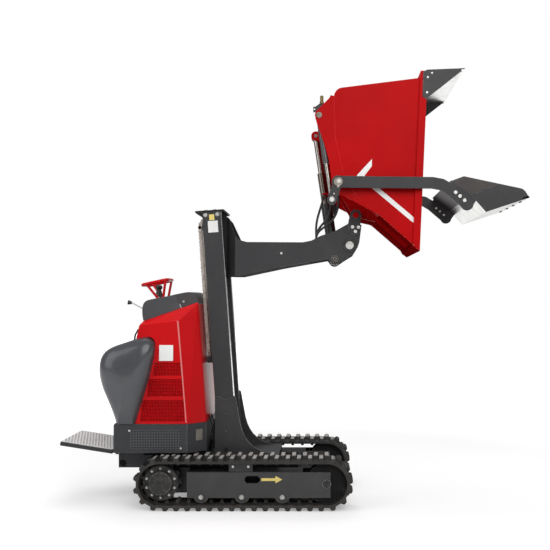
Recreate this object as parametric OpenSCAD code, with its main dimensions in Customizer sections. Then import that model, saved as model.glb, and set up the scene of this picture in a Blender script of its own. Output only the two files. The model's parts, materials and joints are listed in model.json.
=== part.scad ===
// Tracked power carrier: a stand-on tracked high-tip dumper with a self-loading shovel.
// Millimetres. +X is forward, +Y is the machine's left, +Z is up, and the lugs stand on z = 0.
// Rest pose: mast raised, skip tipped forward, shovel held out level.

/* [Tracks] */
// Distance between the sprocket and idler axles
axle_span = 1080; // [960:10:1200]
// Inner radius of the belt round its end wheels
belt_in_r = 132.5; // [125:0.5:140]
// Thickness of the belt without its lugs
belt_t = 18; // [15:1:22]
// Height of the ground lugs
lug_h = 22; // [16:1:28]
// Width of each belt
belt_w = 230; // [215:5:250]
// Distance between the centre lines of the two belts
track_gauge = 760; // [750:5:800]
// Spacing of the lugs along the belt, rounded to whole links
lug_pitch = 72; // [64:1:84]
// Height of the guide horns inside the belt
horn_h = 24; // [16:1:27]
// Distance between neighbouring track rollers
roller_pitch = 263; // [230:1:270]
// Radius of the track rollers' rims
roller_r = 46; // [42:0.5:50]
// Distance between the two side plates of a track frame
frame_gap = 144; // [144:1:156]
// Thickness of the track frame's plates
frame_plate_t = 8; // [6:1:12]
// Number of bolts round each drive hub
hub_bolts = 10; // [6:1:12]

/* [Chassis] */
// Width of the chassis box between the tracks
chassis_w = 450; // [400:10:460]
// Height of the chassis box
chassis_h = 110; // [90:5:130]
// Thickness of the chassis plates
chassis_t = 10; // [6:1:14]
// Height of the deck that carries the mast
deck_z = 316; // [300:2:330]
// Radius of the tie-down eye in the tail
tie_eye_r = 16; // [10:1:20]
// Thickness of the tie-down lug
tie_lug_t = 24; // [16:1:40]

/* [Mast] */
// Backward lean of the mast
mast_lean = 4; // [2:0.5:6]
// Height of the mast along its lean, without its cap
mast_h = 1650; // [1600:10:1800]
// Depth of the mast from front to back
mast_d = 130; // [120:2:140]
// Width over the two mast rails
mast_w = 350; // [340:2:360]
// Width of one mast rail
rail_w = 60; // [50:1:64]
// Wall of the mast rails
rail_wall = 8; // [5:1:12]
// Place of the mast's foot, forward of the middle of the tracks
mast_foot_x = -130; // [-140:1:-115]
// Thickness of the doubler plates at the mast's foot
gusset_t = 12; // [8:1:16]
// Height of the doubler plates above the deck
gusset_h = 392; // [340:2:420]

/* [Lift] */
// Travel of the lift cylinder; the boom moves twice as far
lift_travel = 540; // [400:10:550]
// Outer radius of the lift cylinder's barrel
lift_barrel_r = 42; // [36:1:44]
// Radius of the lift cylinder's rod
lift_rod_r = 28; // [20:1:32]
// Radius of the chain pulleys
pulley_r = 44; // [38:1:46]
// Width of one lift chain
chain_w = 20; // [14:1:24]
// Height of the chain's plates
chain_t = 16; // [12:1:18]

/* [Boom] */
// Reach of the boom from the mast's centre line to the skip pivot
boom_reach = 960; // [900:10:1040]
// Height of the skip pivot above the boom's datum
boom_rise = 298; // [280:2:320]
// Width over the boom's side plates
boom_w = 386; // [376:2:400]
// Thickness of the boom's side plates
boom_t = 15; // [10:1:18]
// Depth of the boom's web below its datum at the root
boom_root_drop = 114; // [100:2:130]
// Height of the boom's top edge above its datum
boom_top = 115; // [100:1:125]
// Thickness of the bolted nose brackets
nose_t = 10; // [8:1:16]
// Radius of the chrome cross pin in the nose
cross_pin_r = 27; // [20:1:32]
// Radius of the tip cylinder's foot pin
foot_pin_r = 15; // [12:1:20]

/* [Skip] */
// Width over the skip's side plates
skip_w = 860; // [840:5:900]
// Thickness of the skip's bent sheet
skip_t = 5; // [3:0.5:8]
// Thickness of the skip's side plates
skip_side_t = 6; // [4:0.5:10]
// Distance of the skip's floor behind its pivot
floor_x = 148; // [140:1:160]
// Height of the skip's back wall above its pivot
back_z = 804; // [780:2:860]
// Reach of the skip's mouth in front of its pivot
mouth_x = 433; // [400:2:480]
// Width of the folded rim round the mouth
rim_w = 45; // [30:1:60]
// Outward depth of the rim
rim_d = 22; // [14:1:28]
// Radius of the skip's pivot tube
pivot_r = 20; // [16:1:26]
// Reach of the deflector past the rim
deflector_reach = 254; // [200:2:300]
// Thickness of the deflector's plates
deflector_t = 5; // [3:0.5:8]
// Radius of the shovel arms' pivot pins
arm_pin_r = 20; // [14:1:24]

/* [Shovel] */
// Length of the shovel arms from their pivot to the bend
arm_len = 647; // [600:5:700]
// Height of the arms' bar
arm_h = 74; // [60:1:84]
// Thickness of the arms
arm_t = 20; // [14:1:26]
// Gap between the skip's side plates and the arms
arm_gap = 40; // [36:1:50]
// Length of the bucket's floor from heel to lip
bucket_floor = 294; // [260:2:320]
// Thickness of the bucket's plates
bucket_t = 8; // [5:0.5:12]
// Number of points on the cutting edge
edge_points = 9; // [5:1:13]

/* [Cylinders] */
// Outer radius of the tip cylinder's barrel
tip_barrel_r = 38; // [34:1:44]
// Radius of the tip cylinder's middle stage
tip_stage_r = 30; // [27:1:33]
// Radius of the tip cylinder's rod
tip_rod_r = 21; // [16:1:24]
// Radius of the shovel cylinders' barrels
arm_barrel_r = 21; // [18:1:23]
// Radius of the shovel cylinders' rods
arm_rod_r = 13; // [9:1:16]
// Running clearance of shafts and rods, on the radius
run_gap = 0.05; // [0.02:0.01:0.1]
// Gap between moving faces that pass each other
face_gap = 0.5; // [0.3:0.1:0.8]

/* [Console] */
// Width of the console
console_w = 760; // [740:5:800]
// Rear end of the console, behind the middle of the tracks
console_rear = 864; // [850:2:880]
// Front end of the console, behind the middle of the tracks
console_front = 264; // [255:1:280]
// Height of the console's floor
console_z = 357; // [352:1:370]
// Height of the skirt
skirt_h = 191; // [170:1:220]
// Wall of the skirt and the bonnet
panel_t = 5; // [3:0.5:8]
// Height of the bonnet's crease above the skirt
bonnet_h = 682; // [660:2:720]
// Height of the dash cover at its rear edge
dash_h = 128; // [90:1:130]
// Radius of the hand guard's tube
guard_r = 12; // [9:0.5:15]
// Height of the hand guard above the dash
guard_h = 105; // [90:1:130]
// Radius of the control levers' stems
lever_r = 6; // [4:0.5:8]

/* [Platform] */
// Length of the folding platform
platform_len = 381; // [340:1:420]
// Width of the folding platform
platform_w = 480; // [400:10:520]
// Upward tilt of the platform towards its rear end
platform_tilt = 9; // [5:0.5:12]
// Thickness of the platform's tube frame
platform_t = 26; // [20:1:34]
// Pitch of the grating's bars
grating_pitch = 30; // [22:1:44]

/* [Hidden] */
$fn = 48;

// Colours
red = [0.74, 0.08, 0.09];
dark_grey = [0.26, 0.26, 0.27];
console_grey = [0.31, 0.33, 0.34];
skirt_grey = [0.23, 0.24, 0.25];
rubber_black = [0.16, 0.15, 0.14];
steel = [0.62, 0.6, 0.58];
bright_steel = [0.86, 0.87, 0.88];
chrome = [0.8, 0.81, 0.83];
black = [0.06, 0.06, 0.06];
cast_grey = [0.4, 0.4, 0.41];

// Track sizes worked out from the driving ones
RIGHT = -1;
LEFT = 1;
track_y = track_gauge / 2;
cord_depth = 5;
pitch_r = belt_in_r + cord_depth;
belt_out_r = belt_in_r + belt_t;
axle_x = axle_span / 2;
axle_z = belt_out_r + lug_h;
belt_len = 2 * axle_span + 2 * PI * pitch_r;
link_count = round(belt_len / lug_pitch);
link_len = belt_len / link_count;
half_turn = PI * pitch_r;
arc_sides = 20;
belt_floor_z = axle_z - belt_in_r;
belt_roof_z = axle_z + belt_in_r;
lug_base = 44;
lug_sole = 26;
lug_overlap = 12;
horn_y = 25;
horn_w = 20;
horn_base = 30;
horn_tip = 18;
sink = 3;
wheel_gap = 0.8;
rim_y = horn_y + horn_w + 5;
rim_w_track = frame_gap / 2 - rim_y - 2;
roller_mid_x = -11;
roller_x = [for (i = [-1 : 1]) roller_mid_x + i * roller_pitch];
roller_z = belt_floor_z + roller_r + wheel_gap;
roller_pin_r = 12;
roller_hub_r = 18;
idler_axle_r = 20;
idler_hub_r = pitch_r - cord_depth - horn_h - 8;
spindle_r = 32;
sprocket_teeth = 12;
sprocket_root_r = 112;
sprocket_tip_r = belt_in_r - 4;
tooth_root_w = 38;
tooth_tip_w = 22;
sprocket_half_t = 18;
hub_neck_r = 84;
hub_plate_r = 114;
hub_cover_r = 78;
hub_plate_y = horn_y + horn_w + 3;
hub_plate_t = 10;
hub_cover_t = 24;
hub_bolt_r = 6;
hub_bolt_circle = 98;
motor_r = 66;
plate_in_y = frame_gap / 2;
plate_out_y = plate_in_y + frame_plate_t;
frame_rear_x = -366;
frame_front_x = axle_x + 25;
frame_low_z = axle_z - 92;
frame_top_z = axle_z + 74;
frame_boss_r = 40;
motor_plate_r = 104;
beam_floor_z = axle_z - 20;
beam_front_x = axle_x - belt_in_r - 24;
slot_mid = [58, axle_z + 27];
slot_half = [49, 24];
slot_cut = 14;
skid_mid_x = -18;
skid_len = 155;

// Chassis and mast
chassis_rear_x = -700;
chassis_front_x = 350;
nose_step_x = 215;
nose_step_z = deck_z - 54;
cross_x = [-300, 0, 300];
cross_len = 90;
cross_z0 = 125;
cross_z1 = 195;
tail_x = -876;
tail_low_z = 222;
tail_end = tail_x + 150;
tie_eye = [tail_x + 30, tail_low_z + 30];
mast_sin = sin(mast_lean);
mast_cos = cos(mast_lean);
rail_y = mast_w / 2 - rail_w;
cap_t = 14;
cap_d = mast_d + 66;
tie_plate_t = 10;
tie_low_h = 150;
anchor_w = 600;
anchor_h = 60;

// Place of a point given along the mast: u forward of its centre line, w up from the deck
function mast_pt(u, w) = [
    mast_foot_x + u * mast_cos - w * mast_sin,
    deck_z + u * mast_sin + w * mast_cos
];

// Lift gear, along the mast
pulley_w = mast_h - 90;
pulley_u = -46;
pulley_y = 46;
pulley_t = chain_w + 8;
pulley_pin_r = 12;
chain_run_r = pulley_r + 0.6 + chain_t / 2;
chain_y = pulley_y + pulley_t / 2;
barrel_base_w = 24;
barrel_top_w = pulley_w - lift_travel - 40;
rod_low_w = barrel_base_w + lift_travel + 40;
crosshead_half_w = pulley_y - 4;
crosshead_h = 56;
chain_lug_w = mast_h - 380;
chain_lug_h = 36;
chain_lug_y = lift_barrel_r + 4;
anchor_rod_r = 8;

// Boom datum, pivots and outline
datum_w = mast_h - 323;
datum = mast_pt(0, datum_w);
skip_pivot = datum + [boom_reach, boom_rise];
cross_pin = skip_pivot - [41, 204];
tip_foot = skip_pivot - [141, 296];
carriage_y = rail_y - 0.3;
carriage_t = 9;
carriage_rear_u = -44;
carriage_top_w = mast_h - 20;
carriage_low_w = datum_w - boom_root_drop;
flare_x0 = 80;
flare_x1 = 146;
boom_y = boom_w / 2;
foot_boss_r = 40;
boom_plate_end = 650;
boom_plate_t = 8;
nose_eye_r = 38;
nose_bolts = [for (p = [[-22, -80], [18, -82], [-3, -111]]) skip_pivot + p];
bolt_r = 13;
bolt_head_t = 9;
hose_bar = datum + [690, 122];
hose_bar_size = [22, 10];

function boom_outline() = concat(
    [mast_pt(carriage_rear_u, carriage_low_w), mast_pt(carriage_rear_u, carriage_top_w)],
    [for (p = [[58, 199], [92, 158], [143, 39], [173, 15], [221, 2]]) datum + [p[0], p[1] + boom_top]],
    [for (p = [[-359, -183], [-300, -171], [-243, -141], [-134, -103], [-46, -54]]) skip_pivot + p],
    [for (p = [[40, -65], [25, -182], [14, -216], [-12, -260], [-77, -300]]) skip_pivot + p],
    [for (a = [-50 : -16 : -130]) tip_foot + foot_boss_r * [cos(a), sin(a)]],
    [tip_foot + [-49, 0]],
    [for (p = [[457, 61], [169, 0], [78, 0]]) datum + [p[0], p[1] - boom_root_drop]]
);

// Skip: every point is measured from the skip pivot
skip_y = skip_w / 2;
skip_in_y = skip_y - skip_side_t;
mouth_top = [mouth_x, back_z + 71];
spout = [405, -240];
rim_top = mouth_top + [25, 38];
rim_low = spout + [2, -17];
arm_pivot = [-123, 188];
ear_pin = [-247, 630];
tip_lug = [-273, 569];
corner_r = 55;
corner_mid = [corner_r - floor_x, back_z - 50];
rib_y = 140;
rib_t = 20;
lug_y = 26;
lug_t = 14;
knuckle_y = lug_y - 4;
lug_r = 32;
ear_pin_r = 12;
boss_r = 40;

function skip_corner() = [for (a = [97 : 16.6 : 180]) corner_mid + corner_r * [cos(a), sin(a)]];
function skip_path() = concat(
    [mouth_top], skip_corner(),
    [[-floor_x, 710], [10 - floor_x, 471], [61 - floor_x, 253], [98 - floor_x, 172]],
    [[-4, 105], [60, 48], [147, -16], spout]
);
function side_outline() = concat(
    [mouth_top], skip_corner(),
    [[-172, 760], [-180, 742], ear_pin + [-21, 23], ear_pin + [-28, 4], ear_pin + [-24, -20]],
    [ear_pin + [-11, -65], [-216, 451], [-180, 326], arm_pivot + [-41, 3], arm_pivot + [16, -75]],
    [[-36, 77], [147, -24], [381, -227], spout]
);

// Shovel: every point is measured from the arms' pivot
shovel_pivot = skip_pivot + arm_pivot;
arm_y = skip_y + arm_gap;
arm_out_y = arm_y + arm_t;
arm_end = [arm_len + 184, -144];
arm_bend = [[arm_len - 40, -7], [arm_len + 20, -18], [arm_len + 72, -48]];
arm_bolts = [[arm_len + 108, -70], [arm_len + 136, -94], [arm_len + 166, -121]];
arm_bolt_r = 8;
cyl_lug = [-41, -115];
cyl_lug_r = 31;
cyl_pin_r = 15;
arm_end_r = arm_h / 2 + 4;
heel = [arm_len + 310, -193];
floor_dir = [0.9497, 0.3132];
lip = heel + bucket_floor * floor_dir;
bucket_back = [arm_len + 213, -85];
bucket_rear = [arm_len + 79, 6];
bucket_crown = [arm_len + 166, 38];
lip_top = [lip + [-26, 42], lip + [-47, 59]];
cylinder_gap = 3;
cylinder_y = skip_in_y - arm_barrel_r - cylinder_gap;
eye_half_t = 14;
eye_r = 24;
edge_t = 14;
edge_w = 42;
edge_tip = 10;

// Tip and shovel cylinders at rest
tip_eye = skip_pivot + tip_lug;
tip_dir = atan2(tip_eye[1] - tip_foot[1], tip_eye[0] - tip_foot[0]);
tip_len = norm(tip_eye - tip_foot);
tip_stroke = 391;
tip_closed = tip_len - tip_stroke;
tip_barrel_len = tip_closed - 84;
tip_stage_low = 60 + tip_stroke / 2;
tip_stage_top = tip_closed - 64 + tip_stroke / 2;
tip_rod_low = 78 + tip_stroke;
arm_eye = shovel_pivot + cyl_lug;
ear = skip_pivot + ear_pin;
arm_cyl_dir = atan2(arm_eye[1] - ear[1], arm_eye[0] - ear[0]);
arm_cyl_len = norm(arm_eye - ear);
arm_stroke = 205;
arm_barrel_len = arm_cyl_len - arm_stroke - 44;
arm_rod_low = arm_stroke + 30;

// Console
console_y = console_w / 2;
chamfer_x = 114;
chamfer_y = 100;
skirt_z = console_z + skirt_h;
crease_z = skirt_z + bonnet_h;
bonnet_round = 10;
floor_t = 6;
bonnet_back_x = -console_rear + 24;
dash_rear_x = -690;
dash_front_x = -console_front - 61;
dash_top_z = crease_z + 115;
tank_out_y = console_y + 50;
tank_in_y = 190;
tank_gap = 3;
guard_z = crease_z + 130 + guard_h;
guard_x = [-724, -572];
guard_half_w = 140;
lever_x = -637;
lever_y = 38;
lever_pivot_z = crease_z + 86;
lever_pin_r = 4;
lever_slot = 30;
lever_knob_r = 17;
throttle_y = -120;
throttle_pivot = [dash_rear_x - 14, crease_z + 62];
throttle_tip = [-800, crease_z + 112];
dash_round = 24;
grille_rows = [[-600, -422, 948, 862], [-634, -415, 840, 726], [-676, -402, 702, 562]];

// Platform
hinge = [-console_rear - 16, 335];
hinge_r = 12;
hinge_ear_y = 180;
hinge_ear_t = 24;
tail_plate_t = 15;
platform_y = platform_w / 2;
platform_start = hinge_r + 12;
grating_t = 6;
bar_t = 5;

// The frame's origin lies under the middle of the machine's overall length
x_rear = hinge[0] - platform_len * cos(platform_tilt) - platform_t / 2 * sin(platform_tilt);
x_front = shovel_pivot[0] + lip[0] + edge_tip * floor_dir[0];
x_mid = (x_rear + x_front) / 2;

// Hydraulic hoses between the boom's bar and the skip's bar, as [x, y, z] in the machine's places
hose_r = 8;
hose_sides = 8;
hose_gap = 0.9;
skip_bar = skip_pivot + [-226, 150];
skip_bar_size = [126, 8];
hose_y = [-84, -104, -124];
hose_routes = [
    [[468, -84, 1778], [468, -84, 1800], [467, -84, 1835], [468, -83, 1875], [474, -82, 1915],
     [484, -82, 1955], [496, -83, 1995], [507, -84, 2030], [514, -84, 2060], [516, -84, 2080]],
    [[468, -104, 1778], [469, -104, 1800], [478, -105, 1835], [498, -108, 1868], [525, -110, 1900],
     [548, -110, 1935], [562, -108, 1975], [568, -106, 2015], [570, -104, 2050], [570, -104, 2080]],
    [[468, -124, 1778], [470, -124, 1800], [485, -125, 1830], [514, -127, 1856], [548, -128, 1882],
     [580, -128, 1914], [603, -126, 1952], [616, -125, 1996], [621, -124, 2040], [621, -124, 2080]]
];

// Helpers
module machine() {
    translate([-x_mid, 0, 0]) children();
}
module at(p) {
    translate([p[0], 0, p[1]]) children();
}
module slab(y0, y1) {
    translate([0, y1, 0]) rotate([90, 0, 0]) linear_extrude(y1 - y0) children();
}
module pin(r, y0, y1) {
    translate([0, y1, 0]) rotate([90, 0, 0]) cylinder(r = r, h = y1 - y0);
}
module both_sides() {
    children();
    mirror([0, 1, 0]) children();
}
module on_side(side) {
    mirror([0, side < 0 ? 1 : 0, 0]) children();
}
module on_mast() {
    translate([mast_foot_x, 0, deck_z]) rotate([0, -mast_lean, 0]) children();
}
module along(p, angle) {
    at(p) rotate([0, 90 - angle, 0]) children();
}
module box(x0, x1, y0, y1, z0, z1) {
    translate([x0, y0, z0]) cube([x1 - x0, y1 - y0, z1 - z0]);
}
module hex_bolt(r, y, t) {
    translate([0, y + t, 0]) rotate([90, 0, 0]) cylinder(r = r, h = t, $fn = 6);
}
module rod_between(a, b, r) {
    d = b - a;
    translate(a) rotate([0, acos(d[2] / norm(d)), atan2(d[1], d[0])]) cylinder(r = r, h = norm(d));
}

// Left-hand unit normal of the step from a to b
function normal(a, b) = [a[1] - b[1], b[0] - a[0]] / norm(b - a);
// A path moved sideways by d, with mitred corners
function beside(p, d) = [
    for (i = [0 : len(p) - 1])
        let (n0 = normal(p[max(i - 1, 0)], p[max(i, 1)]))
        let (n1 = normal(p[min(i, len(p) - 2)], p[min(i + 1, len(p) - 1)]))
        p[i] + (n0 + n1) * d / (1 + n0 * n1)
];
function reversed(p) = [for (i = [len(p) - 1 : -1 : 0]) p[i]];
// Closed outline of a sheet of thickness t on the left of a path
function sheet_outline(p, t) = concat(p, reversed(beside(p, t)));
// Closed outline of a bar of height h centred on a path
function bar_outline(p, h) = concat(beside(p, h / 2), reversed(beside(p, -h / 2)));

// A round tube swept along points, built ring by ring with flat end caps
module tube(points, r, sides) {
    count = len(points);
    tangents = [
        for (i = [0 : count - 1])
            let (d = points[min(i + 1, count - 1)] - points[max(i - 1, 0)])
            d / norm(d)
    ];
    rings = [
        for (i = [0 : count - 1])
            let (u = cross(tangents[i], [0, 1, 0]) / norm(cross(tangents[i], [0, 1, 0])))
            let (v = cross(tangents[i], u))
            for (k = [0 : sides - 1]) points[i] + r * (cos(360 * k / sides) * u + sin(360 * k / sides) * v)
    ];
    walls = [
        for (i = [0 : count - 2], k = [0 : sides - 1])
            let (a = i * sides + k, b = i * sides + (k + 1) % sides)
            each [[a, a + sides, b], [b, a + sides, b + sides]]
    ];
    caps = [
        [for (k = [0 : sides - 1]) k],
        [for (k = [sides - 1 : -1 : 0]) (count - 1) * sides + k]
    ];
    polyhedron(points = rings, faces = concat(walls, caps));
}

// Tracks
// A point on the belt's pitch line at arc length s: x, z and the angle of the outward normal
function belt_place(s) =
    s < axle_span ? [s - axle_x, axle_z - pitch_r, -90] :
    s < axle_span + half_turn ? arc_place(axle_x, (s - axle_span) / pitch_r * 180 / PI - 90) :
    s < 2 * axle_span + half_turn ? [axle_x - (s - axle_span - half_turn), axle_z + pitch_r, 90] :
    arc_place(-axle_x, (s - 2 * axle_span - half_turn) / pitch_r * 180 / PI + 90);
function arc_place(x, a) = [x + pitch_r * cos(a), axle_z + pitch_r * sin(a), a];
// The belt's loop at radius r; the flats of its arcs touch that radius
function loop_outline(r) = [
    for (e = [[axle_x, -90], [-axle_x, 90]], i = [0 : arc_sides - 1])
        let (a = e[1] + (i + 0.5) * 180 / arc_sides, out_r = r / cos(90 / arc_sides))
        [e[0] + out_r * cos(a), axle_z + out_r * sin(a)]
];
module on_belt(s) {
    place = belt_place(s % belt_len);
    translate([place[0], 0, place[1]]) rotate([0, -place[2], 0]) children();
}
module tread_block(y0, y1, base_n, tip_n, base_len, tip_len) {
    slab(y0, y1) polygon([
        [base_n, -base_len / 2], [tip_n, -tip_len / 2], [tip_n, tip_len / 2], [base_n, base_len / 2]
    ]);
}
module track_belt(side) {
    lug_tip = belt_t - cord_depth + lug_h;
    on_side(side) translate([0, track_y, 0]) {
        slab(-belt_w / 2, belt_w / 2) difference() {
            polygon(loop_outline(belt_out_r));
            polygon(loop_outline(belt_in_r));
        }
        for (i = [0 : link_count - 1]) {
            on_belt(i * link_len)
                tread_block(-lug_overlap, belt_w / 2, lug_tip - lug_h - sink, lug_tip, lug_base, lug_sole);
            on_belt((i + 0.5) * link_len)
                tread_block(-belt_w / 2, lug_overlap, lug_tip - lug_h - sink, lug_tip, lug_base, lug_sole);
            for (y = [-horn_y - horn_w, horn_y]) on_belt(i * link_len)
                tread_block(y, y + horn_w, sink - cord_depth, -cord_depth - horn_h, horn_base, horn_tip);
        }
    }
}
module track_belt_right() { color(rubber_black) machine() track_belt(RIGHT); }
module track_belt_left() { color(rubber_black) machine() track_belt(LEFT); }

module frame_bores() {
    for (x = roller_x) at([x, roller_z]) pin(roller_pin_r + run_gap, -belt_w, belt_w);
    at([axle_x, axle_z]) pin(idler_axle_r + run_gap, -belt_w, belt_w);
}
module plate_outline() {
    translate([frame_rear_x, frame_low_z])
        square([frame_front_x - frame_rear_x, frame_top_z - frame_low_z]);
    for (x = roller_x) translate([x, roller_z]) circle(r = frame_boss_r);
}
module track_frame(side) {
    on_side(side) translate([0, track_y, 0]) difference() {
        union() {
            slab(plate_in_y, plate_out_y) difference() {
                plate_outline();
                translate(slot_mid) polygon([
                    [-slot_half[0], slot_cut - slot_half[1]], [slot_cut - slot_half[0], -slot_half[1]],
                    [slot_half[0] - slot_cut, -slot_half[1]], [slot_half[0], slot_cut - slot_half[1]],
                    [slot_half[0], slot_half[1] - slot_cut], [slot_half[0] - slot_cut, slot_half[1]],
                    [slot_cut - slot_half[0], slot_half[1]], [-slot_half[0], slot_half[1] - slot_cut]
                ]);
            }
            slab(-plate_out_y, -plate_in_y) {
                plate_outline();
                translate([-axle_x, frame_low_z])
                    square([axle_x + frame_rear_x + 10, frame_top_z - frame_low_z]);
                translate([-axle_x, axle_z]) circle(r = motor_plate_r);
            }
            for (z = [frame_top_z - frame_plate_t, beam_floor_z])
                box(frame_rear_x, beam_front_x, -plate_in_y, plate_in_y, z, z + frame_plate_t);
        }
        frame_bores();
        at([-axle_x, axle_z]) pin(spindle_r + run_gap, -belt_w, 0);
    }
}
module track_frame_right() { color(dark_grey) machine() track_frame(RIGHT); }
module track_frame_left() { color(dark_grey) machine() track_frame(LEFT); }

module drive_motors() {
    motor_in_y = chassis_w / 2 + 4;
    color(cast_grey) machine() both_sides() at([-axle_x, axle_z]) {
        pin(motor_r, motor_in_y, track_y - plate_out_y);
        pin(spindle_r, track_y - plate_out_y - 1, track_y + hub_plate_y);
    }
}
module track_axles() {
    head_t = 8;
    color(steel) machine() both_sides() translate([0, track_y, 0]) {
        for (x = roller_x) at([x, roller_z]) {
            pin(roller_pin_r, -plate_out_y, plate_out_y);
            pin(roller_pin_r + 6, plate_out_y, plate_out_y + head_t);
        }
        at([axle_x, axle_z]) {
            pin(idler_axle_r, -plate_out_y, plate_out_y);
            pin(idler_axle_r + 8, plate_out_y, plate_out_y + head_t);
        }
    }
}
module carrier_skids() {
    color(black) machine() both_sides() translate([0, track_y, 0]) for (y = [-plate_in_y, rim_y])
        box(skid_mid_x - skid_len / 2, skid_mid_x + skid_len / 2, y, y + plate_in_y - rim_y,
            frame_top_z, belt_roof_z - wheel_gap);
}
module sprocket(side) {
    cover_y = hub_plate_y + hub_plate_t;
    on_side(side) translate([-axle_x, track_y, axle_z]) {
        difference() {
            union() {
                pin(sprocket_root_r, -sprocket_half_t, sprocket_half_t);
                for (i = [0 : sprocket_teeth - 1]) rotate([0, -360 * i / sprocket_teeth, 0])
                    tread_block(-sprocket_half_t, sprocket_half_t, sprocket_root_r - 10, sprocket_tip_r,
                                tooth_root_w, tooth_tip_w);
                pin(hub_neck_r, sprocket_half_t - 1, hub_plate_y + 1);
                pin(hub_plate_r, hub_plate_y, cover_y);
                pin(hub_cover_r, cover_y - 1, cover_y + hub_cover_t);
            }
            pin(spindle_r + run_gap, -belt_w, hub_plate_y + face_gap);
        }
        for (i = [0 : hub_bolts - 1]) rotate([0, 360 * (i + 0.5) / hub_bolts, 0])
            translate([hub_bolt_circle - 3, 0, 0]) pin(hub_bolt_r, cover_y, cover_y + 6);
    }
}
module sprocket_right() { color(skirt_grey) machine() sprocket(RIGHT); }
module sprocket_left() { color(skirt_grey) machine() sprocket(LEFT); }

module rimmed_wheel(rim_r, hub_r, bore_r) {
    difference() {
        union() {
            pin(hub_r, -rim_y - rim_w_track, rim_y + rim_w_track);
            for (y = [-rim_y - rim_w_track, rim_y]) pin(rim_r, y, y + rim_w_track);
        }
        pin(bore_r, -belt_w, belt_w);
    }
}
module idler(side) {
    on_side(side) translate([axle_x, track_y, axle_z])
        rimmed_wheel(belt_in_r - wheel_gap, idler_hub_r, idler_axle_r + run_gap);
}
module idler_right() { color(cast_grey) machine() idler(RIGHT); }
module idler_left() { color(cast_grey) machine() idler(LEFT); }
module roller(side, x) {
    on_side(side) translate([x, track_y, roller_z])
        rimmed_wheel(roller_r, roller_hub_r, roller_pin_r + run_gap);
}
module roller_right_1() { color(cast_grey) machine() roller(RIGHT, roller_x[0]); }
module roller_right_2() { color(cast_grey) machine() roller(RIGHT, roller_x[1]); }
module roller_right_3() { color(cast_grey) machine() roller(RIGHT, roller_x[2]); }
module roller_left_1() { color(cast_grey) machine() roller(LEFT, roller_x[0]); }
module roller_left_2() { color(cast_grey) machine() roller(LEFT, roller_x[1]); }
module roller_left_3() { color(cast_grey) machine() roller(LEFT, roller_x[2]); }

// Chassis
module chassis_frame() {
    side_y = chassis_w / 2;
    low_z = deck_z - chassis_h;
    beam_y = track_y - plate_out_y;
    color(skirt_grey) machine() difference() {
        union() {
            box(chassis_rear_x, chassis_front_x, -side_y, side_y, deck_z - chassis_t, deck_z);
            both_sides() box(chassis_rear_x, chassis_front_x, side_y - chassis_t, side_y, low_z, deck_z);
            box(chassis_front_x - chassis_t, chassis_front_x, -side_y, side_y, low_z, deck_z);
            for (x = cross_x)
                box(x - cross_len / 2, x + cross_len / 2, -beam_y, beam_y, cross_z0, cross_z1);
            for (x = cross_x) both_sides()
                box(x - cross_len / 2, x + cross_len / 2, side_y - 40, side_y, cross_z1 - 1, deck_z - 1);
            both_sides() {
                box(tail_x, -console_front - 10, hinge_ear_y - 80, hinge_ear_y, deck_z - 1, console_z);
                box(tail_x, tail_end + 60, hinge_ear_y - tail_plate_t, hinge_ear_y, tail_low_z, console_z);
            }
            box(tail_x, tail_end + 60, -hinge_ear_y, hinge_ear_y, console_z - 12, console_z);
            box(tail_end - 12, tail_end, -hinge_ear_y, hinge_ear_y, tail_low_z, console_z);
            box(tail_x, tail_end, -tie_lug_t / 2, tie_lug_t / 2, tail_low_z, console_z);
            both_sides() at(hinge) {
                pin(hinge_r + 8, hinge_ear_y - tail_plate_t, hinge_ear_y);
                pin(hinge_r, hinge_ear_y - 1, hinge_ear_y + hinge_ear_t + 6);
            }
        }
        box(nose_step_x, chassis_front_x + 10, -chassis_w, chassis_w, nose_step_z, deck_z + 10);
        at(tie_eye) pin(tie_eye_r, -tie_lug_t, tie_lug_t);
        both_sides() at(tie_eye) pin(tie_eye_r + 8, tie_lug_t, chassis_w);
    }
}

// Mast and lift gear
module mast_frame() {
    half_d = mast_d / 2;
    color(dark_grey) machine() difference() {
        on_mast() {
            both_sides() difference() {
                box(-half_d, half_d, rail_y, mast_w / 2, -20, mast_h);
                box(rail_wall - half_d, half_d - rail_wall, rail_y + rail_wall, mast_w / 2 - rail_wall,
                    -30, mast_h + 1);
            }
            box(-half_d, tie_plate_t - half_d, -rail_y - 1, rail_y + 1, -20, tie_low_h);
            box(-half_d, tie_plate_t - half_d, -rail_y - 1, rail_y + 1, anchor_w - 40, anchor_w + anchor_h);
            difference() {
                box(pulley_u - chain_run_r - anchor_rod_r - 6, 1 - half_d, -chain_y - 24, chain_y + 24,
                    anchor_w + 20, anchor_w + anchor_h);
                both_sides() translate([pulley_u - chain_run_r, chain_y, anchor_w])
                    cylinder(r = anchor_rod_r + run_gap, h = anchor_h + 1);
            }
        }
        box(-mast_h, mast_h, -mast_w, mast_w, -mast_h, deck_z);
    }
}
function gusset_outline() = concat(
    [[-221, deck_z], [-221, deck_z + gusset_h]],
    [for (a = [180 : 15 : 360]) [-150 + 30 * cos(a), deck_z + gusset_h + 18 * sin(a)]],
    [[-84, deck_z + gusset_h], [-78, deck_z + gusset_h - 12], [-46, deck_z + 200], [-31, deck_z + 150]],
    [[-14, deck_z + 114], [8, deck_z + 82], [40, deck_z + 51], [78, deck_z + 29]],
    [[120, deck_z + 12], [170, deck_z]]
);
module mast_gussets() {
    color(dark_grey) machine() both_sides()
        slab(mast_w / 2, mast_w / 2 + gusset_t) polygon(gusset_outline());
}
module mast_cap() {
    color(dark_grey) machine() on_mast()
        box(mast_d / 2 + 20 - cap_d, mast_d / 2 + 20, -mast_w / 2 - 4, mast_w / 2 + 4,
            mast_h, mast_h + cap_t);
}
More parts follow.
